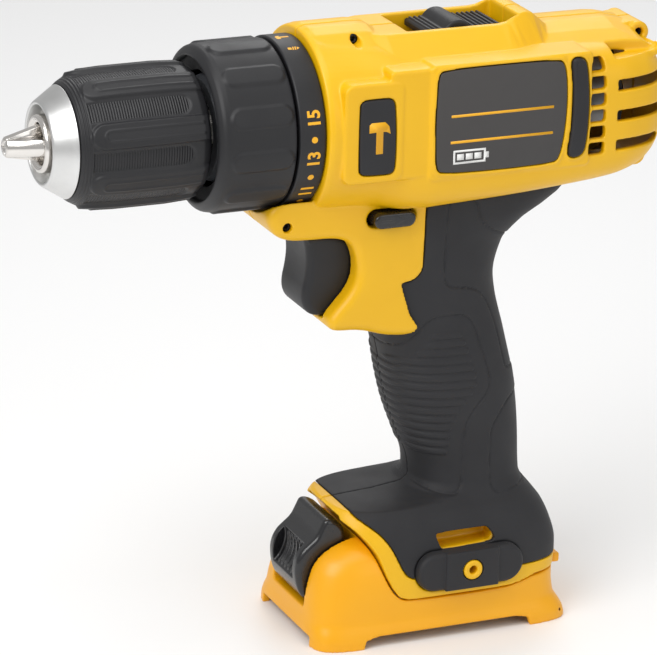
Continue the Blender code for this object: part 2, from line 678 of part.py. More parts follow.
def make_housing():
    """Both half shells of the housing and the soft grips moulded over them."""
    column = column_solid("column_outer", HANDLE, 0.0)
    keep(column, prism("foot_region", FOOT_REGION, (-60.0, 60.0)))
    whole = join(housing_outer(), column)
    space = column_solid("skin_space", HANDLE, -1.0)
    cut(space, column_solid("skin_core", HANDLE, CORE_INSET))
    keep(space, prism("skin_region", grown(GRIP_REGION, GAP), (-60.0, 60.0)))
    cut(space, barrel_solid("skin_barrel", 0.0, (0.0, 300.0)))
    cut(whole, space)
    cut(whole, barrel_solid("barrel_room", WALL, (94.0, 203.0)))
    cut(whole, lathe("works_room", (
        (80.0, 0.0), (80.0, CASE_R + GAP), (118.2, CASE_R + GAP), (118.2, MOTOR_R + GAP), (190.6, MOTOR_R + GAP),
        (190.6, 0.0),
    )))
    cut(whole, column_room())
    cut(whole, trigger_room())
    cut(whole, prism("latch_room", LATCH_ROOM, (-LATCH_HALF - 0.6, LATCH_HALF + 0.6)))
    join(whole, block("seat", (118.0, 161.0), (-SEAT_HALF, SEAT_HALF), (SEAT_FLOOR, FOOT_FLOOR + 1.5)))
    for y in BLADES_Y:
        cut(whole, block(f"blade_hole_{y}", (133.4, 150.6), (y - 2 * BLADE_HALF, y + 2 * BLADE_HALF), (-150.0, -140.0)))
    cut(whole, block("switch_room", (108.0, 138.0), (-12.0, 12.0), (-60.0, -31.0)))
    cut(whole, block("selector_slot", (120.8, 156.4), (-9.6, 9.6), (17.0, 40.0)))
    cut(whole, block("lever_slot", (LEVER[0][0] - GAP, LEVER[0][1] + GAP), (-30.0, 30.0), (LEVER[1][0] - GAP, LEVER[1][1] + GAP)))
    cut(whole, *vent_cutters())
    cut(whole, *face_pockets())
    cut(whole, *hook_slots())
    cut(whole, *screw_holes())
    for side, sign in (("left", -1), ("right", 1)):
        half = block(f"{side}_housing", (60.0, 220.0), (sign * SPLIT, sign * 60.0), (-170.0, 60.0), "yellow")
        keep(half, whole)
    make_grips()


def column_room():
    """The hollow of the handle and the foot."""
    rings = []
    for z, front, rear, half, power in HANDLE:
        if z < -117.0:
            continue
        middle, long = (front + rear) / 2, (rear - front) / 2
        inset = CORE_INSET + WALL
        flat = rounded(long - inset, half - inset, power, FINE)
        rings.append([(middle + a, b, z) for a, b in flat])
    for z, front, rear, half in ((-124.0, 120.0, 163.0, 13.0), (-144.6, 122.0, 165.0, 13.0)):
        flat = rounded((rear - front) / 2, half, 8.0, FINE)
        rings.append([((front + rear) / 2 + a, b, z) for a, b in flat])
    return loft("column_room", rings)


def face_pockets():
    """Shallow seats for the badge, the pad and the bumper of each side."""
    found = []
    for side in (-1, 1):
        found.append(prism(f"badge_seat_{side}", grown(BADGE, GAP), (side * 27.0, side * 32.0)))
        found.append(prism(f"bumper_seat_{side}", grown(BUMPER, GAP), (side * 27.0, side * 32.0)))
        found.append(prism(f"pad_seat_{side}", grown(HAMMER_PAD, GAP), (side * 26.0, side * 32.0)))
    return found


def hook_slots():
    """The belt hook's slot and the flat under its pad, on each side of the foot."""
    found = []
    outline = ((129.4, -128.0), (146.4, -127.8), (149.0, -131.4), (147.4, -133.0), (131.4, -133.4))
    for side in (-1, 1):
        found.append(prism(f"hook_slot_{side}", outline, (side * 15.6, side * 32.0)))
        ring = stadium(HOOK_CENTRE, 17.6 + GAP, 6.1 + GAP)
        seat = prism(f"hook_seat_{side}", ring, (side * 23.4, side * 32.0))
        cut(seat, pin(f"hook_boss_{side}", HOOK_CENTRE, (side * 20.0, side * 27.6), HOOK_BOSS_R))
        found.append(seat)
        found.append(pin(f"hook_thread_{side}", HOOK_CENTRE, (side * 16.0, side * 32.0), 1.5, None, 12))
    return found


def screw_holes():
    """A clearance hole and a counterbore for each housing screw, driven from the left."""
    found = []
    for i, (centre, reach) in enumerate(screw_places()):
        found.append(pin(f"screw_hole_{i}", centre, (-reach - 20.0, reach - 2.0), SCREW_R + GAP, None, 12))
        found.append(pin(f"screw_seat_{i}", centre, (-reach - 20.0, -reach + 3.6), HEAD_R + GAP, None, 16))
    return found


def screw_places():
    """Each screw's centre (x, z) and how far out its boss reaches."""
    return (
        (REAR_SCREWS[0], REAR_EAR_HALF), (REAR_SCREWS[1], REAR_EAR_HALF), (NOSE_SCREW, WEB_HALF), (TOP_SCREW, TOP_SCREW_REACH),
    )


def make_screws():
    names = ("screw_rear_upper", "screw_rear_lower", "screw_nose", "screw_top")
    for name, (centre, reach) in zip(names, screw_places()):
        head = pin(name, centre, (-reach + 0.9, -reach + 3.3), HEAD_R, "dark_steel", 16)
        join(head, pin(f"{name}_shank", centre, (-reach + 2.6, reach - 2.6), SCREW_R, None, 12))


def make_grips():
    """Soft skin over each half's handle and foot."""
    skin = column_solid("skin", HANDLE, 0.0)
    cut(skin, column_solid("skin_inside", HANDLE, SKIN))
    keep(skin, prism("grip_region", GRIP_REGION, (-60.0, 60.0)))
    cut(skin, barrel_solid("grip_barrel", -GAP, (0.0, 300.0)))
    cut(skin, *hook_slots())
    cut(skin, trigger_room())
    for side, sign in (("left", -1), ("right", 1)):
        half = block(f"{side}_grip", (60.0, 220.0), (sign * SPLIT, sign * 60.0), (-170.0, 60.0), "soft_black")
        keep(half, skin)


def make_side_trim():
    """Badge, bumper, pad and belt-hook pad on each side."""
    for side, sign in (("left", -1), ("right", 1)):
        prism(f"{side}_badge", BADGE, (sign * 27.3, sign * 28.6), "badge")
        prism(f"{side}_bumper", BUMPER, (sign * 27.3, sign * 29.4), "soft_black")
        prism(f"{side}_hammer_pad", HAMMER_PAD, (sign * 26.3, sign * 28.0), "hard_black")
        pad = prism(f"{side}_hook_pad", stadium(HOOK_CENTRE, 17.6, 6.1), (sign * 23.7, sign * 28.0), "hard_black")
        cut(pad, pin(f"{side}_pad_hole", HOOK_CENTRE, (sign * 20.0, sign * 32.0), HOOK_BOSS_R + GAP))


def make_controls():
    """Speed selector with its fork, trigger, reversing lever and the switch behind them."""
    knob = block("speed_selector", (128.2, 153.6), (-9.2, 9.2), (22.7, 24.9), "hard_black")
    outline = ((132.6, 24.0), (137.0, 27.6), (141.6, 27.6), (144.8, 24.0))
    join(knob, prism("thumb_ridge", outline, (-8.0, 8.0)))
    block("shift_fork", (131.0, 147.0), (-7.0, 7.0), (21.0, 22.4), "satin_steel")
    trigger = pillow("trigger", TRIGGER, TRIGGER_HALF, 1.4, "hard_black")
    plunger = ((104.0, 0.0), (104.0, 2.4), (118.4, 2.4), (118.4, 0.0))
    join(trigger, lathe("plunger", plunger, None, 12, ORIGIN, (0.0, PLUNGER_Z)))
    module = block("switch_module", (116.4, 136.0), (-10.0, 10.0), (-58.0, -32.4), "grey_plastic")
    bore = ((110.0, 0.0), (110.0, 2.8), (125.6, 2.8), (125.6, 0.0))
    cut(module, lathe("plunger_bore", bore, None, 12, ORIGIN, (0.0, PLUNGER_Z)))
    coil("trigger_spring", (106.4, 116.0), 4.4, 0.6, 4.0, "satin_steel", (0.0, PLUNGER_Z))
    prism("direction_lever", stadium((114.4, -28.0), 6.6, 2.4, 6), (-LEVER_HALF, LEVER_HALF), "hard_black")


def make_shoe():
    """Hollow shoe under the foot, its latch and spring, and the terminals above the bay."""
    shoe = column_solid("battery_shoe", SHOE, 0.0, 36, "shoe_yellow")
    keep(shoe, prism("shoe_region", SHOE_REGION, (-60.0, 60.0)))
    bay = column_solid("bay", SHOE, 2.2)
    outline = ((60.0, -175.0), (60.0, -151.6), (110.0, -151.6), (113.4, -146.6), (185.0, -144.0), (185.0, -175.0))
    keep(bay, prism("bay_region", outline, (-60.0, 60.0)))
    cut(shoe, bay)
    cut(shoe, block("bay_mouth", (97.0, 172.4), (-24.0, 24.0), (-170.0, -158.0)))
    cut(shoe, block("latch_slot", (80.0, 108.2), (-LATCH_HALF - 0.5, LATCH_HALF + 0.5), (-150.6, -100.0)))
    cut(shoe, block("side_arch", (104.5, 160.0), (-60.0, 60.0), (-170.0, -158.0)))
    cut(shoe, block("front_arch", (80.0, 100.0), (-18.0, 18.0), (-170.0, -158.0)))
    latch = prism("latch_button", LATCH, (-LATCH_HALF, LATCH_HALF), "gloss_black")
    bore = ((97.0, 0.0), (97.0, 3.3), (110.0, 3.3), (110.0, 0.0))
    cut(latch, lathe("latch_bore", bore, None, 12, ORIGIN, (0.0, LATCH_SPRING_Z)))
    coil("latch_spring", (97.4, 107.9), 2.5, 0.5, 4.0, "satin_steel", (0.0, LATCH_SPRING_Z))
    block("terminal_block", (126.0, 160.0), (-12.0, 12.0), (-138.0, -128.0), "grey_plastic")
    for side, y in zip(("left", "right"), BLADES_Y):
        block(f"terminal_blade_{side}", (134.0, 150.0), (y - BLADE_HALF, y + BLADE_HALF), (SEAT_FLOOR + GAP, -138.3), "brass")


clear_scene()
make_chuck()
make_clutch()
make_spindle()
make_gearbox()
make_motor()
make_housing()
make_screws()
make_side_trim()
make_controls()
make_shoe()
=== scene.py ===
import math

import bmesh
import bpy
import numpy as np
from mathutils import Matrix, Vector


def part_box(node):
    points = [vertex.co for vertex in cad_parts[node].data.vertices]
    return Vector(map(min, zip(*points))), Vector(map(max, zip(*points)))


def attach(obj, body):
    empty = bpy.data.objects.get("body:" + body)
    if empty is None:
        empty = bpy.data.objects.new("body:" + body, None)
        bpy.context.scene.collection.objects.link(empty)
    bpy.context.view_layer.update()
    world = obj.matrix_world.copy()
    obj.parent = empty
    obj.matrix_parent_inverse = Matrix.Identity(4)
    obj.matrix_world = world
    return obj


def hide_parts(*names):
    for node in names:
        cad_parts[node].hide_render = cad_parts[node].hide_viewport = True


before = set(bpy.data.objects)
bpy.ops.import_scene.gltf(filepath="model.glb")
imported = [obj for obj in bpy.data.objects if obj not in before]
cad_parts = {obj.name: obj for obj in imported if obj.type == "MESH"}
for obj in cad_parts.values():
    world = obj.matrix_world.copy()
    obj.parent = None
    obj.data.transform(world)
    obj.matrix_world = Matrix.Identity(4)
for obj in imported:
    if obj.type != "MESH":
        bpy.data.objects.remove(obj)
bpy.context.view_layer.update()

# Lengths are in millimetres from the jaw tips (x), the middle plane (y) and the drill axis (z).
MM = 0.001
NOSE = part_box("jaw_1")[0].x
AXIS = (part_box("chuck_sleeve")[0].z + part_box("chuck_sleeve")[1].z) / 2
FLOOR = -AXIS / MM
SPLIT = 0.14
SIDES = (("left", -1), ("right", 1))

# x, half width, top, bottom, squareness of the motor housing
BARREL = (
    (89.5, 27.0, 27.5, -27.3, 2.05), (91.0, 27.5, 28.0, -27.8, 2.05), (94.0, 27.4, 27.4, -27.6, 2.15),
    (101.0, 27.3, 26.9, -27.3, 2.25), (108.0, 27.3, 26.0, -27.1, 2.5), (112.0, 27.4, 24.6, -27.0, 2.9),
    (118.0, 27.6, 21.6, -26.6, 3.9), (124.0, 27.9, 20.6, -26.0, 4.6), (150.0, 28.1, 20.5, -24.6, 4.8),
    (171.0, 28.0, 20.4, -23.2, 4.6), (184.0, 27.4, 20.2, -22.2, 4.2), (193.0, 25.4, 19.6, -20.8, 3.5),
    (198.0, 22.6, 18.0, -18.8, 3.0), (201.0, 19.0, 15.6, -15.8, 2.7), (202.9, 14.6, 12.0, -11.6, 2.4),
    (203.8, 8.0, 7.0, -6.4, 2.2),
)
# z, front, rear, half width, squareness of the handle and foot
HANDLE = (
    (-16.0, 104.0, 176.0, 18.0, 3.0), (-25.0, 104.2, 176.0, 17.6, 3.0), (-30.0, 104.6, 170.0, 17.3, 3.0),
    (-34.0, 105.0, 163.2, 17.1, 2.9), (-41.0, 106.0, 156.2, 16.7, 2.8), (-51.0, 107.0, 154.0, 16.4, 2.6),
    (-58.0, 108.4, 155.0, 16.3, 2.5), (-63.0, 112.0, 156.2, 16.3, 2.5), (-68.0, 116.0, 157.6, 16.4, 2.5),
    (-75.0, 118.0, 159.4, 16.7, 2.5), (-83.0, 119.6, 161.4, 16.9, 2.5), (-93.0, 122.2, 163.2, 16.7, 2.5),
    (-103.0, 126.0, 164.2, 16.2, 2.5), (-111.0, 129.0, 164.6, 15.9, 2.5), (-116.0, 129.6, 164.8, 16.2, 2.6),
    (-118.4, 127.6, 165.6, 17.2, 2.7), (-119.8, 118.0, 166.4, 18.0, 3.0), (-120.8, 101.4, 167.2, 18.8, 3.3),
    (-122.6, 100.6, 168.6, 20.2, 3.5), (-126.0, 99.6, 171.0, 21.9, 3.7), (-131.0, 99.0, 173.0, 23.5, 4.0),
    (-137.0, 99.0, 174.4, 24.6, 4.2), (-142.0, 99.0, 174.0, 25.1, 4.4), (-147.5, 99.0, 173.0, 25.3, 4.6),
)
SHOE = (
    (-129.5, 106.0, 172.6, 14.6, 3.6), (-130.6, 102.4, 172.8, 17.0, 4.0), (-132.5, 98.6, 173.0, 19.6, 4.2),
    (-135.5, 95.0, 173.4, 21.8, 4.6), (-139.0, 93.0, 173.4, 23.2, 4.8), (-145.0, 91.6, 173.0, 24.4, 5.2),
    (-150.0, 91.0, 172.4, 24.8, 6.0), (-153.6, 90.8, 172.6, 25.2, 6.6), (-156.0, 90.5, 173.8, 26.0, 7.4),
    (-158.5, 90.3, 175.0, 26.6, 8.0), (FLOOR, 90.2, 175.5, 26.8, 8.0),
)
WEB = (
    (88.0, -14.0), (78.0, -20.0), (74.9, -24.0), (76.2, -28.0), (78.4, -30.8), (82.4, -32.6),
    (89.0, -33.0), (95.8, -33.1), (100.3, -34.1), (102.8, -36.4), (104.2, -40.4), (104.6, -44.3),
    (103.8, -48.0), (101.6, -51.6), (97.6, -55.8), (95.6, -58.6), (96.0, -61.2), (98.2, -62.3),
    (106.0, -62.6), (116.0, -66.0), (130.0, -66.0), (130.0, -14.0),
)
GRIP_REGION = (
    (190.0, -19.2), (172.0, -19.0), (134.0, -18.6), (129.6, -19.4), (126.6, -21.6), (125.6, -25.0),
    (125.7, -44.0), (124.6, -47.0), (121.8, -48.9), (118.0, -49.3), (109.5, -49.0), (106.6, -50.0),
    (104.4, -52.8), (102.4, -55.4), (99.4, -58.2), (97.4, -64.0), (90.0, -70.0), (90.0, -119.5),
    (104.6, -119.5), (105.6, -121.8), (108.6, -124.0), (112.2, -126.8), (115.0, -130.4), (117.0, -134.6),
    (118.6, -138.2), (120.4, -140.4), (123.6, -141.3), (190.0, -141.3),
)
SHOE_REGION = (
    (80.0, -123.0), (101.6, -123.4), (105.3, -126.6), (108.2, -129.8), (110.5, -133.6), (112.9, -140.2),
    (114.8, -144.0), (117.0, -146.8), (120.0, -148.1), (152.0, -148.3), (158.0, -147.2), (163.0, -145.8),
    (190.0, -145.5), (190.0, -170.0), (80.0, -170.0),
)
FOOT_REGION = (
    (60.0, -10.0), (60.0, -118.0), (100.6, -120.0), (100.8, -122.6), (105.6, -126.3), (108.5, -129.5),
    (110.9, -133.3), (113.3, -139.8), (115.2, -143.6), (117.3, -146.4), (120.2, -147.5), (152.0, -147.7),
    (157.9, -146.7), (162.9, -145.3), (190.0, -145.0), (190.0, -10.0),
)
TRIGGER = (
    (89.4, -33.6), (90.3, -35.4), (91.0, -39.0), (91.3, -43.0), (90.8, -47.4), (89.9, -51.4), (90.0, -54.8),
    (91.4, -57.6), (94.0, -59.1), (97.6, -59.0), (101.0, -57.2), (104.0, -53.4), (106.0, -48.0),
    (106.4, -42.0), (105.4, -37.0), (102.6, -34.4), (98.0, -33.6),
)
BADGE = (
    (122.8, 17.4), (124.2, 18.9), (143.0, 19.2), (161.4, 18.9), (163.2, 17.4), (164.2, 11.0), (164.3, 3.0),
    (163.6, -5.0), (162.4, -10.8), (160.6, -12.2), (142.0, -12.5), (124.6, -12.0), (122.9, -10.6),
    (122.5, -4.0), (122.3, 4.0), (122.5, 11.0),
)
BUMPER = (
    (165.3, 18.3), (166.6, 19.2), (169.2, 18.8), (170.4, 17.0), (171.5, 8.0), (171.6, 0.0), (170.9, -8.6),
    (169.6, -10.9), (166.6, -11.4), (165.2, -10.0), (166.1, -4.0), (166.5, 4.0), (166.2, 12.0),
)
HAMMER_PAD = (
    (98.5, 10.2), (99.0, 11.4), (100.4, 12.0), (107.4, 12.0), (108.8, 11.4), (109.4, 10.0), (110.0, 0.0),
    (109.8, -9.2), (109.0, -10.4), (107.6, -10.7), (100.6, -10.5), (99.2, -10.0), (98.6, -8.8),
)
LATCH = (
    (98.6, -123.4), (103.2, -125.2), (105.4, -129.0), (105.4, -149.4), (94.6, -150.0), (91.4, -148.6),
    (89.6, -145.0), (88.8, -140.0), (89.2, -136.4), (90.9, -133.2), (93.4, -131.2), (95.6, -129.4), (97.0, -126.6),
)
UPPER_PANEL = (
    (132.2, -26.6), (133.0, -25.0), (134.8, -24.3), (139.0, -24.3), (141.3, -25.2), (142.3, -27.4), (143.0, -30.6),
    (145.0, -33.6), (149.4, -36.8), (175.0, -46.0), (175.0, -82.4), (155.6, -81.6), (154.4, -78.8), (152.0, -68.5),
    (148.8, -60.1), (145.7, -55.4), (141.9, -53.2), (135.4, -52.4), (133.0, -50.8), (132.3, -48.0),
)
FRONT_PANEL = (
    (95.0, -68.0), (110.0, -69.2), (113.4, -70.9), (117.6, -71.2), (121.2, -70.0), (124.2, -66.8), (126.4, -63.4),
    (129.0, -61.5), (133.0, -61.0), (138.8, -61.2), (141.4, -62.6), (143.6, -66.4), (148.8, -81.6), (149.0, -85.0),
    (147.2, -88.2), (142.8, -93.4), (141.2, -97.0), (140.8, -102.0), (140.9, -114.4), (140.2, -117.6), (137.6, -118.9),
    (129.8, -117.4), (121.0, -113.4), (95.0, -110.0),
)
REAR_PANEL = (
    (175.0, -88.6), (158.4, -89.6), (154.8, -92.0), (151.2, -96.6), (149.9, -100.0), (149.7, -103.0), (150.2, -116.0),
    (151.2, -119.0), (153.6, -119.9), (175.0, -118.0),
)
LEVER_CENTRE = (114.4, -28.0)
HOOK_CENTRE = (139.9, -139.2)
HOOK_SLOT = (
    (129.4, -128.6), (130.2, -128.0), (145.8, -127.8), (147.0, -128.4), (148.9, -131.0), (148.6, -132.3),
    (147.2, -132.9), (132.4, -133.4), (131.0, -132.8),
)
REAR_SCREWS = ((197.4, 18.9), (198.4, -19.2))
NOSE_SCREW = (81.4, -27.9)
TOP_SCREW = (103.8, 25.2)
SCREWS = {
    "screw_rear_upper": (REAR_SCREWS[0], 8.8), "screw_rear_lower": (REAR_SCREWS[1], 8.8),
    "screw_nose": (NOSE_SCREW, 16.5), "screw_top": (TOP_SCREW, 10.5),
}
FRONT_VENTS = (15.3, 10.3, 5.3, 0.3, -4.7, -9.7)
REAR_VENTS = (18.0, 8.8, -0.4, -9.4)


# Shapes

def place(x, y, z):
    """A point in the frame, from millimetres."""
    return (NOSE + x * MM, y * MM, AXIS + z * MM)


def make(name, points, faces):
    """A closed smooth mesh whose faces point out."""
    shape = bmesh.new()
    corners = [shape.verts.new(place(*point)) for point in points]
    for face in faces:
        shape.faces.new([corners[i] for i in face])
    bmesh.ops.recalc_face_normals(shape, faces=shape.faces)
    if shape.calc_volume(signed=True) < 0:
        bmesh.ops.reverse_faces(shape, faces=shape.faces)
    for face in shape.faces:
        face.smooth = True
    mesh = bpy.data.meshes.new(name)
    shape.to_mesh(mesh)
    shape.free()
    made = bpy.data.objects.new(name, mesh)
    bpy.context.scene.collection.objects.link(made)
    return made


def loft(name, rings):
    """A skin through closed rings of one count, capped at both ends."""
    count = len(rings[0])
    points = [point for ring in rings for point in ring]
    faces = []
    for row in range(len(rings) - 1):
        for i in range(count):
            j = (i + 1) % count
            here, there = row * count, (row + 1) * count
            faces.append((here + i, here + j, there + j, there + i))
    faces.append(tuple(range(count)))
    faces.append(tuple((len(rings) - 1) * count + i for i in range(count)))
    return make(name, points, faces)


def prism(name, outline, y_span):
    """An outline in the x-z plane drawn out along y."""
    return loft(name, [[(x, y, z) for x, z in outline] for y in y_span])


def block(name, x_span, y_span, z_span):
    (x0, x1), (z0, z1) = x_span, z_span
    return prism(name, ((x0, z0), (x1, z0), (x1, z1), (x0, z1)), y_span)


def circle(centre, radius, steps=48):
    found = []
    for i in range(steps):
        angle = math.tau * i / steps
        found.append((centre[0] + radius * math.cos(angle), centre[1] + radius * math.sin(angle)))
    return found


def soft_box(x_span, z_span, radius, steps=8):
    """A level rectangle with round corners."""
    found = []
    (x0, x1), (z0, z1) = x_span, z_span
    left, right, low, high = x0 + radius, x1 - radius, z0 + radius, z1 - radius
    for x, z, start in ((right, high, 0), (left, high, 90), (left, low, 180), (right, low, 270)):
        for i in range(steps + 1):
            angle = math.radians(start + 90 * i / steps)
            found.append((x + radius * math.cos(angle), z + radius * math.sin(angle)))
    return found


def stadium(centre, half_length, radius, steps=16):
    """A slot's outline, level in x."""
    found = []
    for side, start in ((1, -90), (-1, 90)):
        for i in range(steps + 1):
            angle = math.radians(start + 180 * i / steps)
            across = side * (half_length - radius) + radius * math.cos(angle)
            found.append((centre[0] + across, centre[1] + radius * math.sin(angle)))
    return found


def grown(outline, by):
    """The outline with each corner moved out along the mean of its edges' normals."""
    count = len(outline)
    area = sum(outline[i - 1][0] * outline[i][1] - outline[i][0] * outline[i - 1][1] for i in range(count))
    way = 1.0 if area > 0 else -1.0
    found = []
    for i, (x, z) in enumerate(outline):
        before, after = outline[i - 1], outline[(i + 1) % count]
        ax, az, bx, bz = x - before[0], z - before[1], after[0] - x, after[1] - z
        la, lb = math.hypot(ax, az), math.hypot(bx, bz)
        nx, nz = az / la + bz / lb, -ax / la - bx / lb
        scale = way * by * 2 / max(nx * nx + nz * nz, 0.8)
        found.append((x + nx * scale, z + nz * scale))
    return found


def curved(outline, rounds=2):
    """The outline with its corners cut (Chaikin), so that it reads as one flowing line."""
    points = [tuple(point) for point in outline]
    for _ in range(rounds):
        found = []
        for here, after in zip(points, points[1:] + points[:1]):
            for share in (0.25, 0.75):
                found.append(tuple(a + (b - a) * share for a, b in zip(here, after)))
        points = found
    return points


def fair(table, step):
    """The table's rows at even steps, joined by cubic curves that don't overshoot."""
    rows = np.array(table, float)
    if rows[0, 0] > rows[-1, 0]:
        rows = rows[::-1]
    at, values = rows[:, 0], rows[:, 1:]
    gaps = np.diff(at)[:, None]
    slopes = np.diff(values, axis=0) / gaps
    tangents = np.zeros_like(values)
    same = slopes[1:] * slopes[:-1] > 0
    mean = 2 * slopes[1:] * slopes[:-1] / np.where(same, slopes[1:] + slopes[:-1], 1.0)
    tangents[1:-1] = np.where(same, mean, 0.0)
    tangents[0], tangents[-1] = slopes[0], slopes[-1]
    count = max(int((at[-1] - at[0]) / step), 2)
    fine = np.unique(np.concatenate([np.linspace(at[0], at[-1], count + 1), at]))
    found = []
    for x in fine:
        i = min(max(int(np.searchsorted(at, x)) - 1, 0), len(at) - 2)
        gap = at[i + 1] - at[i]
        t = (x - at[i]) / gap
        first, second = 2 * t**3 - 3 * t**2 + 1, t**3 - 2 * t**2 + t
        third, fourth = -2 * t**3 + 3 * t**2, t**3 - t**2
        row = first * values[i] + second * gap * tangents[i] + third * values[i + 1] + fourth * gap * tangents[i + 1]
        found.append((float(x), *[float(v) for v in row]))
    return found


def rounded(half_a, half_b, power, count):
    """Points of a superellipse, spread evenly by angle."""
    found = []
    for i in range(count):
        angle = math.tau * (i + 0.5) / count
        c, s = math.cos(angle), math.sin(angle)
        a = math.copysign(abs(c) ** (2 / power), c) * half_a
        b = math.copysign(abs(s) ** (2 / power), s) * half_b
        found.append((a, b))
    return found


def barrel(name, inset=0.0):
    """The motor housing's round-cornered tube, made smaller by the inset."""
    rings = []
    for x, half, top, bottom, power in fair(BARREL, 1.6):
        middle, tall = (top + bottom) / 2, (top - bottom) / 2
        flat = rounded(max(half - inset, 2.0), max(tall - inset, 2.0), power, 96)
        rings.append([(x, a, middle + b) for a, b in flat])
    return loft(name, rings)


def column(name, table, inset=0.0, step=1.6, sink=0.0):
    """The handle or the shoe as level slices, made smaller by the inset.

    The foot of the handle can be sunk, so that a skin over it is as thick on top as at the sides.
    """
    if sink:
        table = [(row[0] - sink * min(max((-112.0 - row[0]) / 4.0, 0.0), 1.0), *row[1:]) for row in table]
    rings = []
    for z, front, rear, half, power in fair(table, step):
        middle, long = (front + rear) / 2, (rear - front) / 2
        flat = rounded(long - inset, half - inset, power, 96)
        rings.append([(middle + a, b, z) for a, b in flat])
    return loft(name, rings)


def lathe(name, profile, steps=96, centre=(0.0, 0.0)):
    """A closed profile of (x, radius) turned about an axis along x at the centre (y, z)."""
    points, rows = [], []
    for x, radius in profile:
        if radius == 0:
            rows.append([len(points)] * steps)
            points.append((x, centre[0], centre[1]))
            continue
        rows.append(list(range(len(points), len(points) + steps)))
        for i in range(steps):
            angle = math.tau * i / steps
            points.append((x, centre[0] + radius * math.sin(angle), centre[1] + radius * math.cos(angle)))
    faces = []
    for row, after in zip(rows, rows[1:] + rows[:1]):
        for i in range(steps):
            j = (i + 1) % steps
            corners = list(dict.fromkeys((row[i], row[j], after[j], after[i])))
            if len(corners) > 2:
                faces.append(corners)
    return make(name, points, faces)


def eased(profile, radius=0.35, steps=3):
    """The closed profile with each corner turned into a small arc."""
    found = []
    count = len(profile)
    for i, here in enumerate(profile):
        if here[1] == 0:
            found.append(here)
            continue
        before, after = Vector(profile[i - 1]), Vector(profile[(i + 1) % count])
        corner = Vector(here)
        reach = min(radius, (before - corner).length * 0.45, (after - corner).length * 0.45)
        start = corner + (before - corner).normalized() * reach
        end = corner + (after - corner).normalized() * reach
        for k in range(steps + 1):
            t = k / steps
            point = start * (1 - t) ** 2 + corner * 2 * t * (1 - t) + end * t**2
            found.append((point.x, point.y))
    return found


def relief(name, profile, inner, height, steps, rows, knurl=None):
    """A turned skin raised by height(x, angle) and closed by a plain inside. Its knurl is kept as an attribute."""
    at = np.linspace(0, 1, rows)
    xs = np.array([x for x, _ in profile])
    rs = np.array([r for _, r in profile])
    along = np.concatenate([[0], np.cumsum(np.hypot(np.diff(xs), np.diff(rs)))])
    x_fine = np.interp(at * along[-1], along, xs)
    r_fine = np.interp(at * along[-1], along, rs)
    points, marks = [], []
    for x, r in list(zip(x_fine, r_fine)) + [(x, -r) for x, r in inner]:
        for i in range(steps):
            angle = math.tau * i / steps
            here = r + height(x, angle) if r > 0 else -r
            points.append((x, -here * math.sin(angle), here * math.cos(angle)))
            marks.append(knurl(x, angle) if knurl and r > 0 else 0.0)
    total = rows + len(inner)
    faces = []
    for row in range(total):
        here, there = row * steps, ((row + 1) % total) * steps
        for i in range(steps):
            j = (i + 1) % steps
            faces.append((here + i, here + j, there + j, there + i))
    made = make(name, points, faces)
    if knurl:
        made.data.attributes.new("knurl", "FLOAT", "POINT").data.foreach_set("value", marks)
    return made


def bake(obj):
    """Turns the evaluated object into its own plain mesh."""
    graph = bpy.context.evaluated_depsgraph_get()
    mesh = bpy.data.meshes.new_from_object(obj.evaluated_get(graph))
    obj.modifiers.clear()
    old, obj.data = obj.data, mesh
    bpy.data.meshes.remove(old)
    return obj


def carve(obj, *tools, how="DIFFERENCE"):
    """Cuts, joins or keeps what the tools cover, then drops the tools."""
    for tool in tools:
        step = obj.modifiers.new("carve", "BOOLEAN")
        step.operation, step.solver, step.object = how, "MANIFOLD", tool
    bake(obj)
    for tool in tools:
        bpy.data.objects.remove(tool)
    return obj


def copied(obj, name):
    made = bpy.data.objects.new(name, obj.data.copy())
    bpy.context.scene.collection.objects.link(made)
    return made


def moulded(obj, voxel, rounds, most=150000):
    """Gives every edge the small radius of a moulding, by a fine remesh that is then relaxed."""
    grid = obj.modifiers.new("grid", "REMESH")
    grid.mode, grid.voxel_size, grid.use_smooth_shade = "VOXEL", voxel * MM, True
    relax = obj.modifiers.new("relax", "SMOOTH")
    relax.factor, relax.iterations = 0.5, rounds
    bake(obj)
    triangles = 2 * len(obj.data.polygons)
    if triangles > most:
        thin = obj.modifiers.new("thin", "DECIMATE")
        thin.ratio = most / triangles
        bake(obj)
    for face in obj.data.polygons:
        face.use_smooth = True
    return obj


def half_of(whole, name, sign):
    """The half of a closed solid on one side of the split plane."""
    half = copied(whole, name)
    box = block("half", (50.0, 230.0), (sign * SPLIT, sign * 70.0), (FLOOR - 5, 60.0))
    return carve(half, box, how="INTERSECT")


def add_piece(obj, name, body, stands_for, material):
    """Names a finished piece, gives it its material and hands it to the frame."""
    obj.name = name
    obj.data.materials.clear()
    obj.data.materials.append(material)
    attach(obj, body)
    if stands_for:
        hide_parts(*stands_for)
    return obj


# Materials

def paint(code):
    """A linear colour from its sRGB hex code."""
    found = []
    for i in (0, 2, 4):
        value = int(code[i:i + 2], 16) / 255
        found.append(value / 12.92 if value <= 0.04045 else ((value + 0.055) / 1.055) ** 2.4)
    return (*found, 1.0)


def wire(tree, kind, inputs=(), **settings):
    """Adds one node, sets its choices, and gives each input a value or another node's output."""
    made = tree.nodes.new(kind)
    for key, value in settings.items():
        setattr(made, key, value)
    for key, value in dict(inputs).items():
        if isinstance(value, bpy.types.NodeSocket):
            tree.links.new(value, made.inputs[key])
        else:
            made.inputs[key].default_value = value
    return made


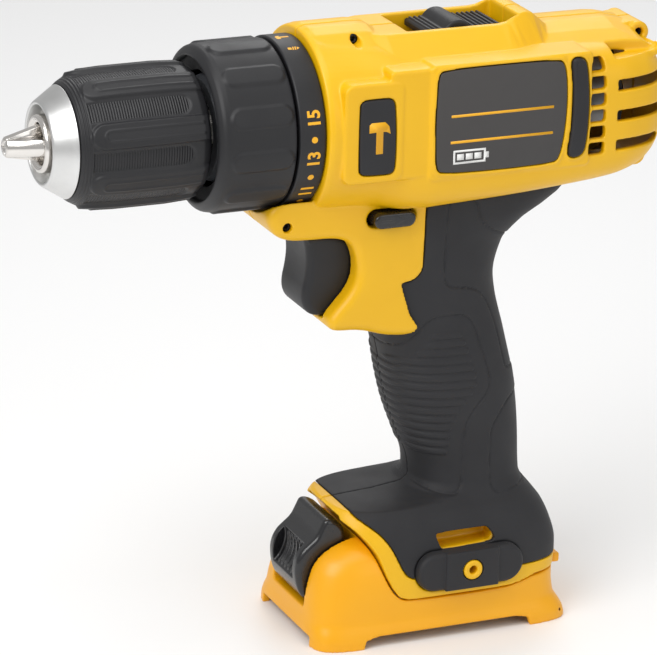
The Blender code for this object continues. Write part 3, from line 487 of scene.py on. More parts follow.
def shader(name, **sockets):
    """A material with one Principled shader, whose plain sockets are set here."""
    made = bpy.data.materials.new(name)
    made.use_nodes = True
    surface = made.node_tree.nodes["Principled BSDF"]
    for key, value in sockets.items():
        surface.inputs[key.replace("_", " ")].default_value = value
    return made, made.node_tree, surface


def scale_of(size):
    """The noise scale whose features are this many millimetres across, in Object coordinates."""
    return 1 / (size * MM)


def mix_colours(tree, factor, first, second):
    mixed = wire(tree, "ShaderNodeMix", data_type="RGBA")
    tree.links.new(factor, mixed.inputs["Factor"])
    for key, value in (("A", first), ("B", second)):
        socket = [s for s in mixed.inputs if s.name == key and s.type == "RGBA"][0]
        socket.default_value = value
    return [s for s in mixed.outputs if s.type == "RGBA"][0]


def spread(tree, value, low, high):
    """A noise's middle range stretched to run from low to high."""
    return wire(tree, "ShaderNodeMapRange", {
        "Value": value, "From Min": 0.3, "From Max": 0.7, "To Min": low, "To Max": high,
    }).outputs["Result"]


def moulded_plastic(name, light, dark, rough, grain, depth, ior=1.5, **more):
    """Injection-moulded plastic.

    A fine spark-eroded grain from the mould, a slow change of shade where the melt flowed, and a
    gloss that is a little higher where hands have polished it.
    """
    made, tree, surface = shader(name, IOR=ior, **more)
    where = wire(tree, "ShaderNodeTexCoord").outputs["Object"]
    flow = wire(tree, "ShaderNodeTexNoise", {"Vector": where, "Scale": scale_of(34.0), "Detail": 3.0, "Roughness": 0.6})
    surface_colour = mix_colours(tree, spread(tree, flow.outputs["Fac"], 0.0, 1.0), paint(dark), paint(light))
    tree.links.new(surface_colour, surface.inputs["Base Color"])
    handled = wire(tree, "ShaderNodeTexNoise", {"Vector": where, "Scale": scale_of(11.0), "Detail": 4.0})
    tree.links.new(spread(tree, handled.outputs["Fac"], rough - 0.05, rough + 0.05), surface.inputs["Roughness"])
    pits = wire(tree, "ShaderNodeTexNoise", {"Vector": where, "Scale": scale_of(grain), "Detail": 2.0, "Roughness": 0.7})
    skin = wire(tree, "ShaderNodeBump", {"Height": pits.outputs["Fac"], "Distance": depth * MM, "Strength": 0.6})
    tree.links.new(skin.outputs["Normal"], surface.inputs["Normal"])
    return made


def cut_with_rings(made):
    """Adds fine moulded rings, 0.8 mm apart along the drill axis, where the mesh says that it is knurled."""
    tree = made.node_tree
    where = wire(tree, "ShaderNodeTexCoord").outputs["Object"]
    along = wire(tree, "ShaderNodeSeparateXYZ", {"Vector": where}).outputs["X"]
    turns = wire(tree, "ShaderNodeMath", {0: along, 1: math.tau / (0.8 * MM)}, operation="MULTIPLY").outputs[0]
    wave = wire(tree, "ShaderNodeMath", {0: turns}, operation="SINE").outputs[0]
    mask = wire(tree, "ShaderNodeAttribute", attribute_name="knurl").outputs["Fac"]
    height = wire(tree, "ShaderNodeMath", {0: wave, 1: mask}, operation="MULTIPLY").outputs[0]
    surface = tree.nodes["Principled BSDF"]
    under = surface.inputs["Normal"].links[0].from_socket
    rings = wire(tree, "ShaderNodeBump", {"Height": height, "Distance": 0.09 * MM, "Strength": 1.0, "Normal": under})
    tree.links.new(rings.outputs["Normal"], surface.inputs["Normal"])
    return made


def turned_metal(name, light, dark, rough, pitch, depth):
    """Metal turned on a lathe about the drill axis.

    Rings a fraction of a millimetre apart follow the tool's feed. They stretch the highlights round
    the axis, and a faint mottle breaks them where the surface has been handled.
    """
    made, tree, surface = shader(name, Metallic=1.0, IOR=2.5)
    where = wire(tree, "ShaderNodeTexCoord").outputs["Object"]
    wander = wire(tree, "ShaderNodeTexNoise", {"Vector": where, "Scale": scale_of(9.0), "Detail": 4.0})
    colour = mix_colours(tree, spread(tree, wander.outputs["Fac"], 0.0, 1.0), paint(dark), paint(light))
    tree.links.new(colour, surface.inputs["Base Color"])
    feed = wire(tree, "ShaderNodeMapping", {"Vector": where, "Scale": (1.0, 0.02, 0.02)})
    rings = wire(tree, "ShaderNodeTexNoise", {
        "Vector": feed.outputs["Vector"], "Scale": scale_of(pitch), "Detail": 3.0, "Roughness": 0.75,
    })
    tree.links.new(spread(tree, rings.outputs["Fac"], rough - 0.06, rough + 0.08), surface.inputs["Roughness"])
    cut = wire(tree, "ShaderNodeBump", {"Height": rings.outputs["Fac"], "Distance": depth * MM, "Strength": 0.5})
    tree.links.new(cut.outputs["Normal"], surface.inputs["Normal"])
    return made


def tumbled_metal(name, light, dark, rough, pit):
    """Stamped, sintered or plated metal from a tumbling drum: soft random dents and an uneven gloss."""
    made, tree, surface = shader(name, Metallic=1.0, IOR=2.5)
    where = wire(tree, "ShaderNodeTexCoord").outputs["Object"]
    cells = wire(tree, "ShaderNodeTexVoronoi", {"Vector": where, "Scale": scale_of(pit)}, feature="SMOOTH_F1")
    cloud = wire(tree, "ShaderNodeTexNoise", {"Vector": where, "Scale": scale_of(pit * 6), "Detail": 5.0})
    colour = mix_colours(tree, spread(tree, cloud.outputs["Fac"], 0.0, 1.0), paint(dark), paint(light))
    tree.links.new(colour, surface.inputs["Base Color"])
    tree.links.new(spread(tree, cloud.outputs["Fac"], rough - 0.08, rough + 0.08), surface.inputs["Roughness"])
    dents = wire(tree, "ShaderNodeBump", {"Height": cells.outputs["Distance"], "Distance": 0.02 * MM, "Strength": 0.4})
    tree.links.new(dents.outputs["Normal"], surface.inputs["Normal"])
    return made


def badge_plate():
    """Printed polycarbonate plate.

    The ink lies under a satin film, with a screen of tiny dots and a faint dust of handling marks in the film's gloss.
    Its grey is even, with painted light on it: it is drawn a little lighter towards the top edge, where the light from
    above falls.
    """
    made, tree, surface = shader("screen_printed_polycarbonate", IOR=1.585, Coat_Weight=0.25, Coat_Roughness=0.35)
    where = wire(tree, "ShaderNodeTexCoord").outputs["Object"]
    # painted light: the plate's grey is mixed from darker at its bottom edge to lighter at its top edge
    height = wire(tree, "ShaderNodeSeparateXYZ", {"Vector": where}).outputs["Z"]
    low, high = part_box("left_badge")[0].z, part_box("left_badge")[1].z
    shade = wire(tree, "ShaderNodeMapRange", {"Value": height, "From Min": low, "From Max": high}).outputs["Result"]
    tree.links.new(mix_colours(tree, shade, paint("2b2827"), paint("343130")), surface.inputs["Base Color"])
    dots = wire(tree, "ShaderNodeTexVoronoi", {"Vector": where, "Scale": scale_of(0.35), "Randomness": 0.0})
    marks = wire(tree, "ShaderNodeTexNoise", {"Vector": where, "Scale": scale_of(4.0), "Detail": 6.0})
    tree.links.new(spread(tree, marks.outputs["Fac"], 0.4, 0.52), surface.inputs["Roughness"])
    film = wire(tree, "ShaderNodeBump", {"Height": dots.outputs["Distance"], "Distance": 0.01 * MM, "Strength": 0.3})
    tree.links.new(film.outputs["Normal"], surface.inputs["Normal"])
    return made


def copper_winding():
    """Enamelled copper wire wound on the rotor: strands side by side under clear varnish, with painted shade in the
    grooves between them and painted highlight on their crests.
    """
    made, tree, surface = shader("enamelled_copper_wire", Metallic=0.9, IOR=1.6, Coat_Weight=0.5, Coat_Roughness=0.15)
    where = wire(tree, "ShaderNodeTexCoord").outputs["Object"]
    strands = wire(tree, "ShaderNodeTexWave", {"Vector": where, "Scale": scale_of(0.6) / 20, "Distortion": 0.6})
    # painted shade and highlight: the copper is dark in the grooves between strands and bright on their crests
    colour = mix_colours(tree, strands.outputs["Fac"], paint("7a3f1c"), paint("c8743c"))
    tree.links.new(colour, surface.inputs["Base Color"])
    surface.inputs["Roughness"].default_value = 0.34
    lift = wire(tree, "ShaderNodeBump", {"Height": strands.outputs["Fac"], "Distance": 0.1 * MM, "Strength": 0.7})
    tree.links.new(lift.outputs["Normal"], surface.inputs["Normal"])
    return made


YELLOW = moulded_plastic("glass_filled_nylon_yellow", "ebb600", "e6b000", 0.4, 0.35, 0.014)
DEEP_YELLOW = moulded_plastic("abs_blend_deep_yellow", "f2ac00", "eea600", 0.38, 0.45, 0.01)
RUBBER = moulded_plastic("overmoulded_tpe_black", "242427", "1f1f22", 0.64, 0.25, 0.02, 1.45, Sheen_Weight=0.04)
NYLON = moulded_plastic("glass_filled_nylon_black", "18181b", "141417", 0.5, 0.25, 0.014)
KNURL = cut_with_rings(moulded_plastic("glass_filled_nylon_sleeve", "19191c", "151518", 0.48, 0.22, 0.018))
GLOSS = moulded_plastic("polished_abs_black", "18181a", "141416", 0.26, 0.9, 0.006, 1.53, Coat_Weight=0.2)
GREY = moulded_plastic("pbt_grey", "4a4c50", "404246", 0.48, 0.3, 0.01)
WHITE_PRINT = moulded_plastic("pad_printed_white_ink", "f2f2f0", "e2e2e0", 0.45, 0.12, 0.004)
PRINT = moulded_plastic("pad_printed_yellow_ink", "f3b21a", "e8a814", 0.45, 0.12, 0.004)
STEEL = turned_metal("turned_steel", "d2d2d0", "c2c2c1", 0.3, 0.18, 0.012)
SATIN = turned_metal("satin_turned_aluminium", "dcdcdb", "cfcfce", 0.34, 0.12, 0.01)
CHROME = turned_metal("nickel_plated_steel", "e4e1dd", "d6d2cd", 0.14, 0.3, 0.004)
DARK = tumbled_metal("black_oxide_steel", "34353a", "26272b", 0.42, 0.5)
ZINC = tumbled_metal("zinc_plated_steel", "a9adb0", "94989c", 0.34, 0.8)
SINTER = tumbled_metal("sintered_steel", "6e6f72", "5a5b5f", 0.5, 0.25)
BRASS = tumbled_metal("stamped_brass", "d9b45c", "c49d45", 0.3, 0.6)
CARBON = moulded_plastic("pressed_carbon_graphite", "232325", "1a1a1c", 0.58, 0.2, 0.03, 1.9)
BADGE_FILM = badge_plate()
COPPER = copper_winding()


# Sub-parts

def side_prism(name, outline, near, far, sign):
    """A prism on one side of the drill, between two distances from the middle plane."""
    return prism(name, outline, (sign * near, sign * far))


def domed(name, outline, near, far, edge, sign, steps=5):
    """A side plate whose outer edge is rounded over."""
    rings = [[(x, sign * near, z) for x, z in outline]]
    for i in range(steps + 1):
        angle = math.pi / 2 * i / steps
        ring = grown(outline, -edge * (1 - math.cos(angle)))
        rings.append([(x, sign * (far - edge + edge * math.sin(angle)), z) for x, z in ring])
    return loft(name, rings)


def cushion(name, outline, half, edge, steps=6):
    """A side view drawn out to both sides, with wide rounded edges."""
    rings = []
    for sign in (-1, 1):
        part = []
        for i in range(steps + 1):
            angle = math.pi / 2 * i / steps
            ring = grown(outline, -edge * (1 - math.sin(angle)))
            part.append([(x, sign * (half - edge * (1 - math.cos(angle))), z) for x, z in ring])
        rings += part if sign < 0 else part[::-1]
    return loft(name, rings)


def web_solid():
    """The bridge from the nose down to the trigger guard, with its edges rounded over."""
    return cushion("web", curved(WEB, 2), 16.5, 2.6, 4)


def pin(name, centre, y_span, radius, steps=48):
    return prism(name, circle(centre, radius, steps), y_span)


def ridge(name, stations, fall, skirt, foot):
    """A raised form along the top: a flat crest, a shoulder one step down, and a slope to its foot on each side."""
    rings = []
    for x, half, top in stations:
        shoulder = half + fall
        side = ((shoulder + skirt, foot - 4.0), (shoulder + skirt, foot), (shoulder, top - fall * 0.25), (half, top))
        left = [(x, -across, up) for across, up in side]
        rings.append(left + [(x, across, up) for across, up in side[::-1]])
    return loft(name, rings)


def top_forms():
    """The deck over the nose, the selector's rail with the hump behind it, and the crown of the rear."""
    return [
        ridge("deck", (
            (89.9, 3.0, 27.5), (92.0, 3.4, 28.3), (108.0, 3.4, 28.3), (110.4, 3.2, 27.9), (112.4, 3.0, 26.7),
        ), 5.0, 9.0, 22.0),
        ridge("rail", (
            (110.0, 10.0, 26.3), (113.0, 11.2, 26.3), (150.0, 11.2, 26.3), (152.4, 10.9, 26.7), (154.6, 10.0, 27.8),
            (157.0, 8.8, 28.6), (159.4, 8.0, 28.8), (162.0, 7.4, 28.0), (165.0, 6.0, 25.6), (168.0, 5.0, 23.0),
        ), 0.6, 9.0, 19.4),
        ridge("crown", (
            (158.0, 4.0, 23.9), (188.0, 4.0, 23.7), (194.0, 3.6, 22.4), (199.0, 3.0, 19.4),
        ), 7.0, 9.0, 18.6),
    ]


def ear(index, centre):
    """A rear screw boss with the fairing that leads into it."""
    x, z = centre
    way = 1 if z > 0 else -1
    steps = ((-11.0, 2.6), (-1.4, 3.4), (1.6, 2.6), (1.0, -3.0), (-12.0, -4.0))
    lead = [(x + along, z + way * up) for along, up in steps]
    return [
        cushion(f"ear_{index}", circle(centre, 3.4), 8.8, 0.4, 3),
        prism(f"ear_lead_{index}", lead, (-7.2, 7.2)),
    ]


def outside():
    """The full outside of the yellow housing above the grip."""
    body = barrel("housing_whole")
    for form in top_forms():
        carve(body, form, how="UNION")
    web = carve(web_solid(), lathe("nose_room", ((50.0, 0.0), (50.0, 26.1), (89.6, 26.1), (89.6, 0.0))))
    carve(body, web, how="UNION")
    bosses = []
    for _, sign in SIDES:
        bosses.append(domed("pad_frame", soft_box((93.6, 112.6), (-13.2, 17.0), 3.0), 16.0, 27.9, 0.8, sign))
        bosses.append(domed("step_frame", soft_box((108.0, 126.0), (-13.2, 19.8), 1.4), 16.0, 27.6, 0.8, sign))
        bosses.append(domed("badge_frame", soft_box((120.6, 172.8), (-14.4, 20.6), 1.6), 16.0, 28.2, 0.7, sign))
        bosses.append(domed("badge_lip", grown(curved(BADGE, 1), 1.3), 20.0, 28.7, 0.4, sign))
        bosses.append(domed("bumper_lip", grown(curved(BUMPER, 1), 1.1), 20.0, 28.7, 0.4, sign))
    for boss in bosses:
        carve(body, boss, how="UNION")
    for i, centre in enumerate(REAR_SCREWS):
        for piece in ear(i, centre):
            carve(body, piece, how="UNION")
    return body


def trigger_room():
    """The room that the trigger moves in."""
    line = ((86.0, -33.4), (113.0, -33.4), (113.0, -48.0), (109.6, -55.4), (106.0, -59.4), (86.0, -59.4))
    return prism("trigger_room", line, (-10.0, 10.0))


def hollow_inside():
    """Everything that is taken out of the housing from within."""
    rings = []
    for x, half, top, bottom, power in fair(BARREL, 4.0):
        if 94.0 <= x <= 201.5:
            flat = rounded(max(half - 2.4, 2.0), max((top - bottom) / 2 - 2.4, 2.0), power, 64)
            rings.append([(x, a, (top + bottom) / 2 + b) for a, b in flat])
    room = loft("barrel_room", rings)
    works = ((80.0, 0.0), (80.0, 22.8), (118.2, 22.8), (118.2, 18.5), (190.6, 18.5), (190.6, 0.0))
    mouth = lathe("works_room", works)
    return [
        room, mouth, trigger_room(),
        block("switch_room", (108.0, 138.0), (-12.0, 12.0), (-62.0, -24.0)),
    ]


def side_openings():
    """Seats, slots, vents and screw holes in the flanks."""
    found = []
    for _, sign in SIDES:
        for line, floor in ((BADGE, 27.0), (BUMPER, 27.0), (HAMMER_PAD, 26.0)):
            found.append(side_prism("seat", grown(curved(line, 1), 0.3), floor, 34.0, sign))
        for z in FRONT_VENTS:
            window = soft_box((172.4, 177.8), (z - 1.95, z + 1.95), 0.6, 4)
            found.append(side_prism("vent", window, 15.0, 40.0, sign))
        for z in REAR_VENTS:
            reach = 198.6 if abs(z) > 9 else 201.4
            vent = (
                (181.8, z - 1.7), (181.8, z + 1.7), (reach - 2.0, z + 1.7), (reach, z + 0.6), (reach, z - 1.0),
                (reach - 2.0, z - 1.7),
            )
            found.append(side_prism("louvre", vent, 17.0 if abs(z) > 15 else 7.0, 40.0, sign))
    found.append(block("selector_slot", (120.9, 156.3), (-9.6, 9.6), (17.0, 40.0)))
    lever_line = stadium(LEVER_CENTRE, 7.9, 2.9)
    found.append(prism("lever_slot", lever_line, (-30.0, 30.0)))
    for _, sign in SIDES:
        scoop = stadium(LEVER_CENTRE, 10.4, 4.4)
        found.append(side_prism("lever_scoop", scoop, 19.0, 30.0, sign))
    for (x, z), reach in SCREWS.values():
        found.append(pin("screw_hole", (x, z), (-reach - 20.0, reach - 2.0), 1.5))
    return found


def housing():
    """Both yellow half shells: hollow, slotted, and split at the middle plane."""
    whole = outside()
    foot = carve(column("foot", HANDLE), prism("foot_region", FOOT_REGION, (-60.0, 60.0)), how="INTERSECT")
    carve(whole, foot, how="UNION")
    skin = column("skin_space", HANDLE, -1.0)
    carve(skin, column("skin_core", HANDLE, 1.8, 1.6, 1.8))
    carve(skin, prism("skin_region", grown(curved(GRIP_REGION, 1), 0.3), (-60.0, 60.0)), how="INTERSECT")
    carve(skin, barrel("skin_barrel"))
    carve(whole, skin)
    for tool in hollow_inside() + side_openings() + foot_openings():
        carve(whole, tool)
    for _, sign in SIDES:
        carve(whole, domed("hook_boss", circle(HOOK_CENTRE, 3.1), 20.0, 28.4, 0.4, sign), how="UNION")
        carve(whole, side_prism("hook_thread", circle(HOOK_CENTRE, 1.35), 16.0, 34.0, sign))
    for side, sign in SIDES:
        half = moulded(half_of(whole, f"{side}_housing_shell", sign), 0.42, 3, 170000)
        add_piece(half, f"{side}_housing_shell", "housing", [f"{side}_housing"], YELLOW)
    bpy.data.objects.remove(whole)


def foot_openings():
    """The belt hook's slot and seat on each side of the foot, and the room for the latch."""
    found = []
    for _, sign in SIDES:
        found.append(side_prism("hook_slot", curved(HOOK_SLOT, 1), 15.6, 34.0, sign))
        found.append(side_prism("hook_seat", stadium(HOOK_CENTRE, 17.9, 6.4), 23.4, 34.0, sign))
    room = ((90.0, -118.0), (98.0, -119.0), (104.4, -124.6), (106.2, -129.0), (106.2, -152.0), (90.0, -152.0))
    found.append(prism("latch_room", room, (-11.8, 11.8)))
    return found


GROOVE_HALF = 0.35
RIBS, FIRST_RIB, RIB_PITCH = 15, 67.4, 2.72
RIB_FRONT = (
    (67.4, 129.3), (70.5, 127.8), (73.0, 124.6), (74.8, 119.5), (76.6, 116.8), (80.0, 117.6), (92.0, 120.4),
    (105.5, 125.2),
)
RIB_REAR = ((67.4, 138.8), (73.2, 141.2), (82.0, 144.2), (85.1, 143.9), (91.0, 139.3), (97.0, 136.4), (105.5, 135.8))


def panel_groove(outline):
    """A narrow groove round one panel of the grip, on the left flank as on the right."""
    frame_line = carve(
        prism("groove_out", grown(curved(outline, 2), GROOVE_HALF), (-40.0, 40.0)),
        prism("groove_in", grown(curved(outline, 2), -GROOVE_HALF), (-41.0, 41.0)),
    )
    return carve(frame_line, column("groove_floor", HANDLE, 0.6))


def rib_lines():
    """The finger ribs: each one's height, its front end and its rear end."""
    found = []
    for i in range(RIBS):
        depth = FIRST_RIB + i * RIB_PITCH
        front, rear = (float(np.interp(depth, *zip(*edge))) for edge in (RIB_FRONT, RIB_REAR))
        found.append((-depth, front, rear))
    return found


def finger_ribs():
    """Low rounded ridges across the front panel, standing on the grip's own surface."""
    ribs = None
    for z, front, rear in rib_lines():
        line = stadium(((front + rear) / 2, z), (rear - front) / 2, 0.75, 6)
        rib = prism("rib", line, (-40.0, 40.0))
        ribs = rib if ribs is None else carve(ribs, rib, how="UNION")
    return carve(ribs, column("rib_top", HANDLE, -0.22), how="INTERSECT")


def grips():
    """The soft skin over the handle, with grooved panels and ribs."""
    skin = column("skin", HANDLE)
    for panel in (FRONT_PANEL, REAR_PANEL, UPPER_PANEL):
        low = carve(column("panel_sink", HANDLE, -2.0), column("panel_floor", HANDLE, 0.22))
        carve(low, prism("panel_area", curved(panel, 2), (-40.0, 40.0)), how="INTERSECT")
        carve(skin, low)
        carve(skin, panel_groove(panel))
    carve(skin, finger_ribs(), how="UNION")
    carve(skin, column("skin_inside", HANDLE, 1.5, 3.0, 1.5))
    carve(skin, prism("grip_region", curved(GRIP_REGION, 1), (-60.0, 60.0)), how="INTERSECT")
    carve(skin, barrel("grip_barrel", -0.3))
    for tool in foot_openings():
        carve(skin, tool)
    for side, sign in SIDES:
        half = moulded(half_of(skin, f"{side}_grip_skin", sign), 0.32, 2, 170000)
        add_piece(half, f"{side}_grip_skin", "housing", [f"{side}_grip"], RUBBER)
    bpy.data.objects.remove(skin)


def shoe():
    """The deep yellow shoe under the foot: hollow, with arches in its skirt and the latch's slot."""
    body = column("shoe_body", SHOE, 0.0, 1.0)
    carve(body, prism("shoe_region", curved(SHOE_REGION, 1), (-60.0, 60.0)), how="INTERSECT")
    bay = column("bay", SHOE, 2.2, 3.0)
    bay_line = ((60.0, -175.0), (60.0, -151.6), (110.0, -151.6), (113.4, -146.6), (185.0, -144.0), (185.0, -175.0))
    carve(bay, prism("bay_region", bay_line, (-60.0, 60.0)), how="INTERSECT")
    tools = [
        bay, block("bay_mouth", (97.0, 172.4), (-24.0, 24.0), (-170.0, -158.0)),
        prism("latch_slot", ((80.0, -100.0), (108.2, -100.0), (108.2, -150.6), (80.0, -150.6)), (-11.7, 11.7)),
    ]
    arch = ((103.0, -170.0), (106.0, -158.4), (110.0, -157.6), (156.0, -157.6), (160.0, -158.4), (163.0, -170.0))
    tools.append(prism("side_arch", arch, (-60.0, 60.0)))
    tools.append(block("front_arch", (80.0, 100.0), (-18.0, 18.0), (-170.0, -158.0)))
    for tool in tools:
        carve(body, tool)
    for y in (-12.0, 12.0):
        carve(body, block("rear_tab", (173.0, 175.4), (y - 3.4, y + 3.4), (-146.4, -143.4)), how="UNION")
    moulded(body, 0.42, 3, 170000)
    add_piece(body, "shoe_shell", "housing", ["battery_shoe"], DEEP_YELLOW)


# Chuck and clutch

def chuck_body():
    """The chuck's steel body, bored for the jaws, with its bright nose ring."""
    profile = (
        (9.6, 7.4), (9.9, 8.2), (10.6, 8.6), (23.6, 8.6), (23.6, 8.3), (31.0, 8.3), (31.0, 16.6), (55.8, 16.6),
        (55.8, 5.3), (49.7, 5.3), (49.7, 2.6), (46.0, 2.6), (46.0, 5.2), (12.6, 5.2), (11.6, 5.9), (10.4, 6.3),
        (10.2, 7.0),
    )
    body = lathe("chuck_body_turned", eased(profile, 0.3), 120)
    for i in range(3):
        carve(body, slanted_rod(f"jaw_way_{i}", i, 3.3, (-4.0, 52.0)))
    add_piece(body, "chuck_body_turned", "spindle", ["chuck_body"], CHROME)
    cone = (
        (10.6, 11.4), (10.4, 12.0), (10.9, 12.6), (17.1, 16.6), (17.1, 15.2), (20.4, 15.2), (20.4, 9.0),
        (17.6, 9.0), (14.0, 10.6), (12.2, 11.0),
    )
    nose = lathe("nose_cone", eased(cone, 0.25), 144)
    add_piece(nose, "nose_cone", "spindle", ["chuck_nose_cone"], SATIN)
    head = ((42.4, 0.0), (42.4, 3.4), (45.7, 4.4), (45.7, 2.2), (56.0, 2.2), (56.0, 0.0))
    screw = lathe("retaining_screw", eased(head, 0.2), 64)
    carve(screw, lathe("screw_recess", ((41.0, 0.0), (41.0, 1.7), (44.6, 1.5), (44.6, 0.0)), 6))
    add_piece(screw, "retaining_screw", "spindle", ["chuck_screw"], DARK)


def slanted(index, along, up, side):
    """A point on one jaw's slanted way: along the drill axis, then away from the way's own line."""
    angle = math.tau * index / 3 + math.pi / 6
    away = -0.1 + along * math.tan(math.radians(15.0)) + up
    return (along, away * math.sin(angle) + side * math.cos(angle), away * math.cos(angle) - side * math.sin(angle))


def slanted_rod(name, index, radius, reach, steps=48):
    rings = []
    for x, shrink in reach if isinstance(reach[0], tuple) else [(x, 0.0) for x in reach]:
        ring = []
        for k in range(steps):
            turn = math.tau * k / steps
            ring.append(slanted(index, x, (radius - shrink) * math.cos(turn), (radius - shrink) * math.sin(turn)))
        rings.append(ring)
    return loft(name, rings)


def jaw(index):
    """One hardened jaw: a ground rod with two flats that meet its neighbours, and a chamfered nose."""
    angle = math.tau * index / 3 + math.pi / 6
    ends = ((0.0, 0.5), (0.5, 0.0), (27.6, 0.0), (28.0, 0.4))
    rod = slanted_rod(f"jaw_rod_{index}", index, 3.0, ends)
    half = math.radians(60.0)
    start = 0.15 / math.sin(half)
    corners = []
    for away, turn, shift in ((start, 0.0, 0.0), (30.0, half, start), (34.0, 0.0, 0.0), (30.0, -half, start)):
        corners.append((away * math.cos(turn) + shift, away * math.sin(turn)))
    rings = []
    for x in (-2.0, 30.0):
        row = []
        for up, side in corners:
            y = up * math.sin(angle) + side * math.cos(angle)
            row.append((x, y, up * math.cos(angle) - side * math.sin(angle)))
        rings.append(row)
    carve(rod, loft("jaw_sector", rings), how="INTERSECT")
    relief_bore = lathe("jaw_mouth", ((-1.0, 0.0), (-1.0, 1.9), (0.9, 0.5), (0.9, 0.0)), 48)
    carve(rod, relief_bore)
    add_piece(rod, f"jaw_{index + 1}_ground", f"jaw_{index + 1}", [f"jaw_{index + 1}"], CHROME)


def smooth_edge(distance, width):
    """1 well inside an outline, 0 well outside it, and an even slope over the width between."""
    t = min(max(0.5 - distance / width, 0.0), 1.0)
    return t * t * (3 - 2 * t)


def pill(x, side, start, end, half):
    """Distance from an outline with round ends, along the axis and across it."""
    low, high = start + half, end - half
    nearest = min(max(x, low), high)
    return math.hypot(x - nearest, side) - half


def fin_place(angle, first, pitch, radius):
    """How far round from the nearest of a row of pads, in millimetres."""
    turn = (math.degrees(angle) - first + pitch / 2) % pitch - pitch / 2
    return math.radians(turn) * radius


def sleeve_height(x, angle):
    """Eight raised fins, each with a thin raised loop inside, and sunken panels between them."""
    across = fin_place(angle, 27.0, 45.0, 19.6)
    height = 0.95 * smooth_edge(pill(x, across, 20.2, 80.0, 3.7), 0.9)
    height += 0.3 * smooth_edge(abs(pill(x, across, 24.0, 80.0, 1.5)) - 0.28, 0.35) * smooth_edge(x - 54.0, 0.6)
    between = fin_place(angle, 49.5, 45.0, 19.6)
    height -= 0.42 * smooth_edge(pill(x, between, 0.0, 51.2, 3.2), 0.6) * smooth_edge(20.6 - x, 0.8)
    return height * smooth_edge(x - 55.9, 0.8)


def sleeve_knurl(x, angle):
    between = fin_place(angle, 49.5, 45.0, 19.6)
    panel = smooth_edge(pill(x, between, 0.0, 50.8, 2.9), 0.4)
    return max(panel, smooth_edge(x - 20.4, 0.4)) if x > 17.9 else 0.0


def collar_height(x, angle):
    """Twelve raised pads with round ends."""
    across = fin_place(angle, 9.5, 30.0, 24.8)
    return 0.62 * smooth_edge(pill(x, across, 60.6, 79.4, 3.1), 1.3)


def clutch_parts():
    """The grip sleeve, the torque collar and its numbered band."""
    outer = (
        (17.4, 15.9), (17.4, 16.6), (17.7, 17.0), (18.6, 17.7), (20.4, 18.7), (24.0, 19.2), (30.0, 19.5),
        (46.0, 19.55), (54.0, 19.1), (56.0, 18.5), (56.5, 18.0),
    )
    inner = ((56.5, 17.0), (31.2, 17.0), (31.0, 18.0), (23.6, 18.0), (20.9, 15.9))
    sleeve = relief("grip_sleeve", outer, inner, sleeve_height, 480, 132, sleeve_knurl)
    add_piece(sleeve, "grip_sleeve", "sleeve", ["chuck_sleeve"], KNURL)
    outer = (
        (57.2, 21.4), (57.0, 22.0), (57.3, 22.7), (58.2, 23.9), (59.0, 24.4), (60.4, 24.7), (79.6, 24.7), (80.3, 24.5),
        (80.5, 24.0),
    )
    inner = ((80.5, 23.2), (62.0, 23.2), (62.0, 17.2), (60.0, 17.2), (60.0, 21.0), (58.6, 21.2))
    collar = relief("torque_collar", outer, inner, collar_height, 480, 84)
    add_piece(collar, "torque_collar", "collar", ["clutch_collar"], NYLON)
    band = ((81.1, 23.0), (81.1, 24.9), (81.5, 25.25), (88.9, 25.25), (89.2, 24.9), (89.2, 23.0))
    add_piece(lathe("dial_band", eased(band, 0.2), 160), "dial_band", "collar", ["number_band"], NYLON)


def text_mesh(name, words, height):
    """Flat type turned into a thin closed mesh, centred on its own middle, in millimetres."""
    curve = bpy.data.curves.new(name, "FONT")
    curve.body, curve.size, curve.extrude, curve.offset = words, 1.0, 0.04, 0.028
    curve.align_x, curve.resolution_u = "CENTER", 4
    holder = bpy.data.objects.new(name, curve)
    bpy.context.scene.collection.objects.link(holder)
    graph = bpy.context.evaluated_depsgraph_get()
    graph.update()
    mesh = bpy.data.meshes.new_from_object(holder.evaluated_get(graph))
    bpy.data.objects.remove(holder)
    shape = bmesh.new()
    shape.from_mesh(mesh)
    bmesh.ops.remove_doubles(shape, verts=shape.verts, dist=1e-5)
    high = max(v.co.y for v in shape.verts)
    low = min(v.co.y for v in shape.verts)
    size = height / (high - low)
    for v in shape.verts:
        v.co = Vector((v.co.x * size, (v.co.y - (high + low) / 2) * size, v.co.z))
    shape.to_mesh(mesh)
    shape.free()
    return mesh


def round_band(mesh, x, degrees, radius):
    """Wraps flat type round the band: its top towards the chuck, reading upwards on the left side."""
    base = math.radians(degrees)
    for v in mesh.vertices:
        out = radius + (0.05 if v.co.z > 0 else -0.25)
        angle = base - v.co.x / radius
        v.co = place(x - v.co.y, -out * math.sin(angle), out * math.cos(angle))
    return mesh


def flat_icon(name, outlines):
    """Thin plates from outlines in millimetres, as one mesh in the plane of the type."""
    shape = bmesh.new()
    for outline in outlines:
        ends = []
        for depth in (-0.04, 0.04):
            ends.append([shape.verts.new((x, y, depth)) for x, y in outline])
        count = len(outline)
        for i in range(count):
            j = (i + 1) % count
            shape.faces.new((ends[0][i], ends[0][j], ends[1][j], ends[1][i]))
        shape.faces.new(ends[0][::-1])
        shape.faces.new(ends[1])
    bmesh.ops.recalc_face_normals(shape, faces=shape.faces)
    mesh = bpy.data.meshes.new(name)
    shape.to_mesh(mesh)
    shape.free()
    return mesh


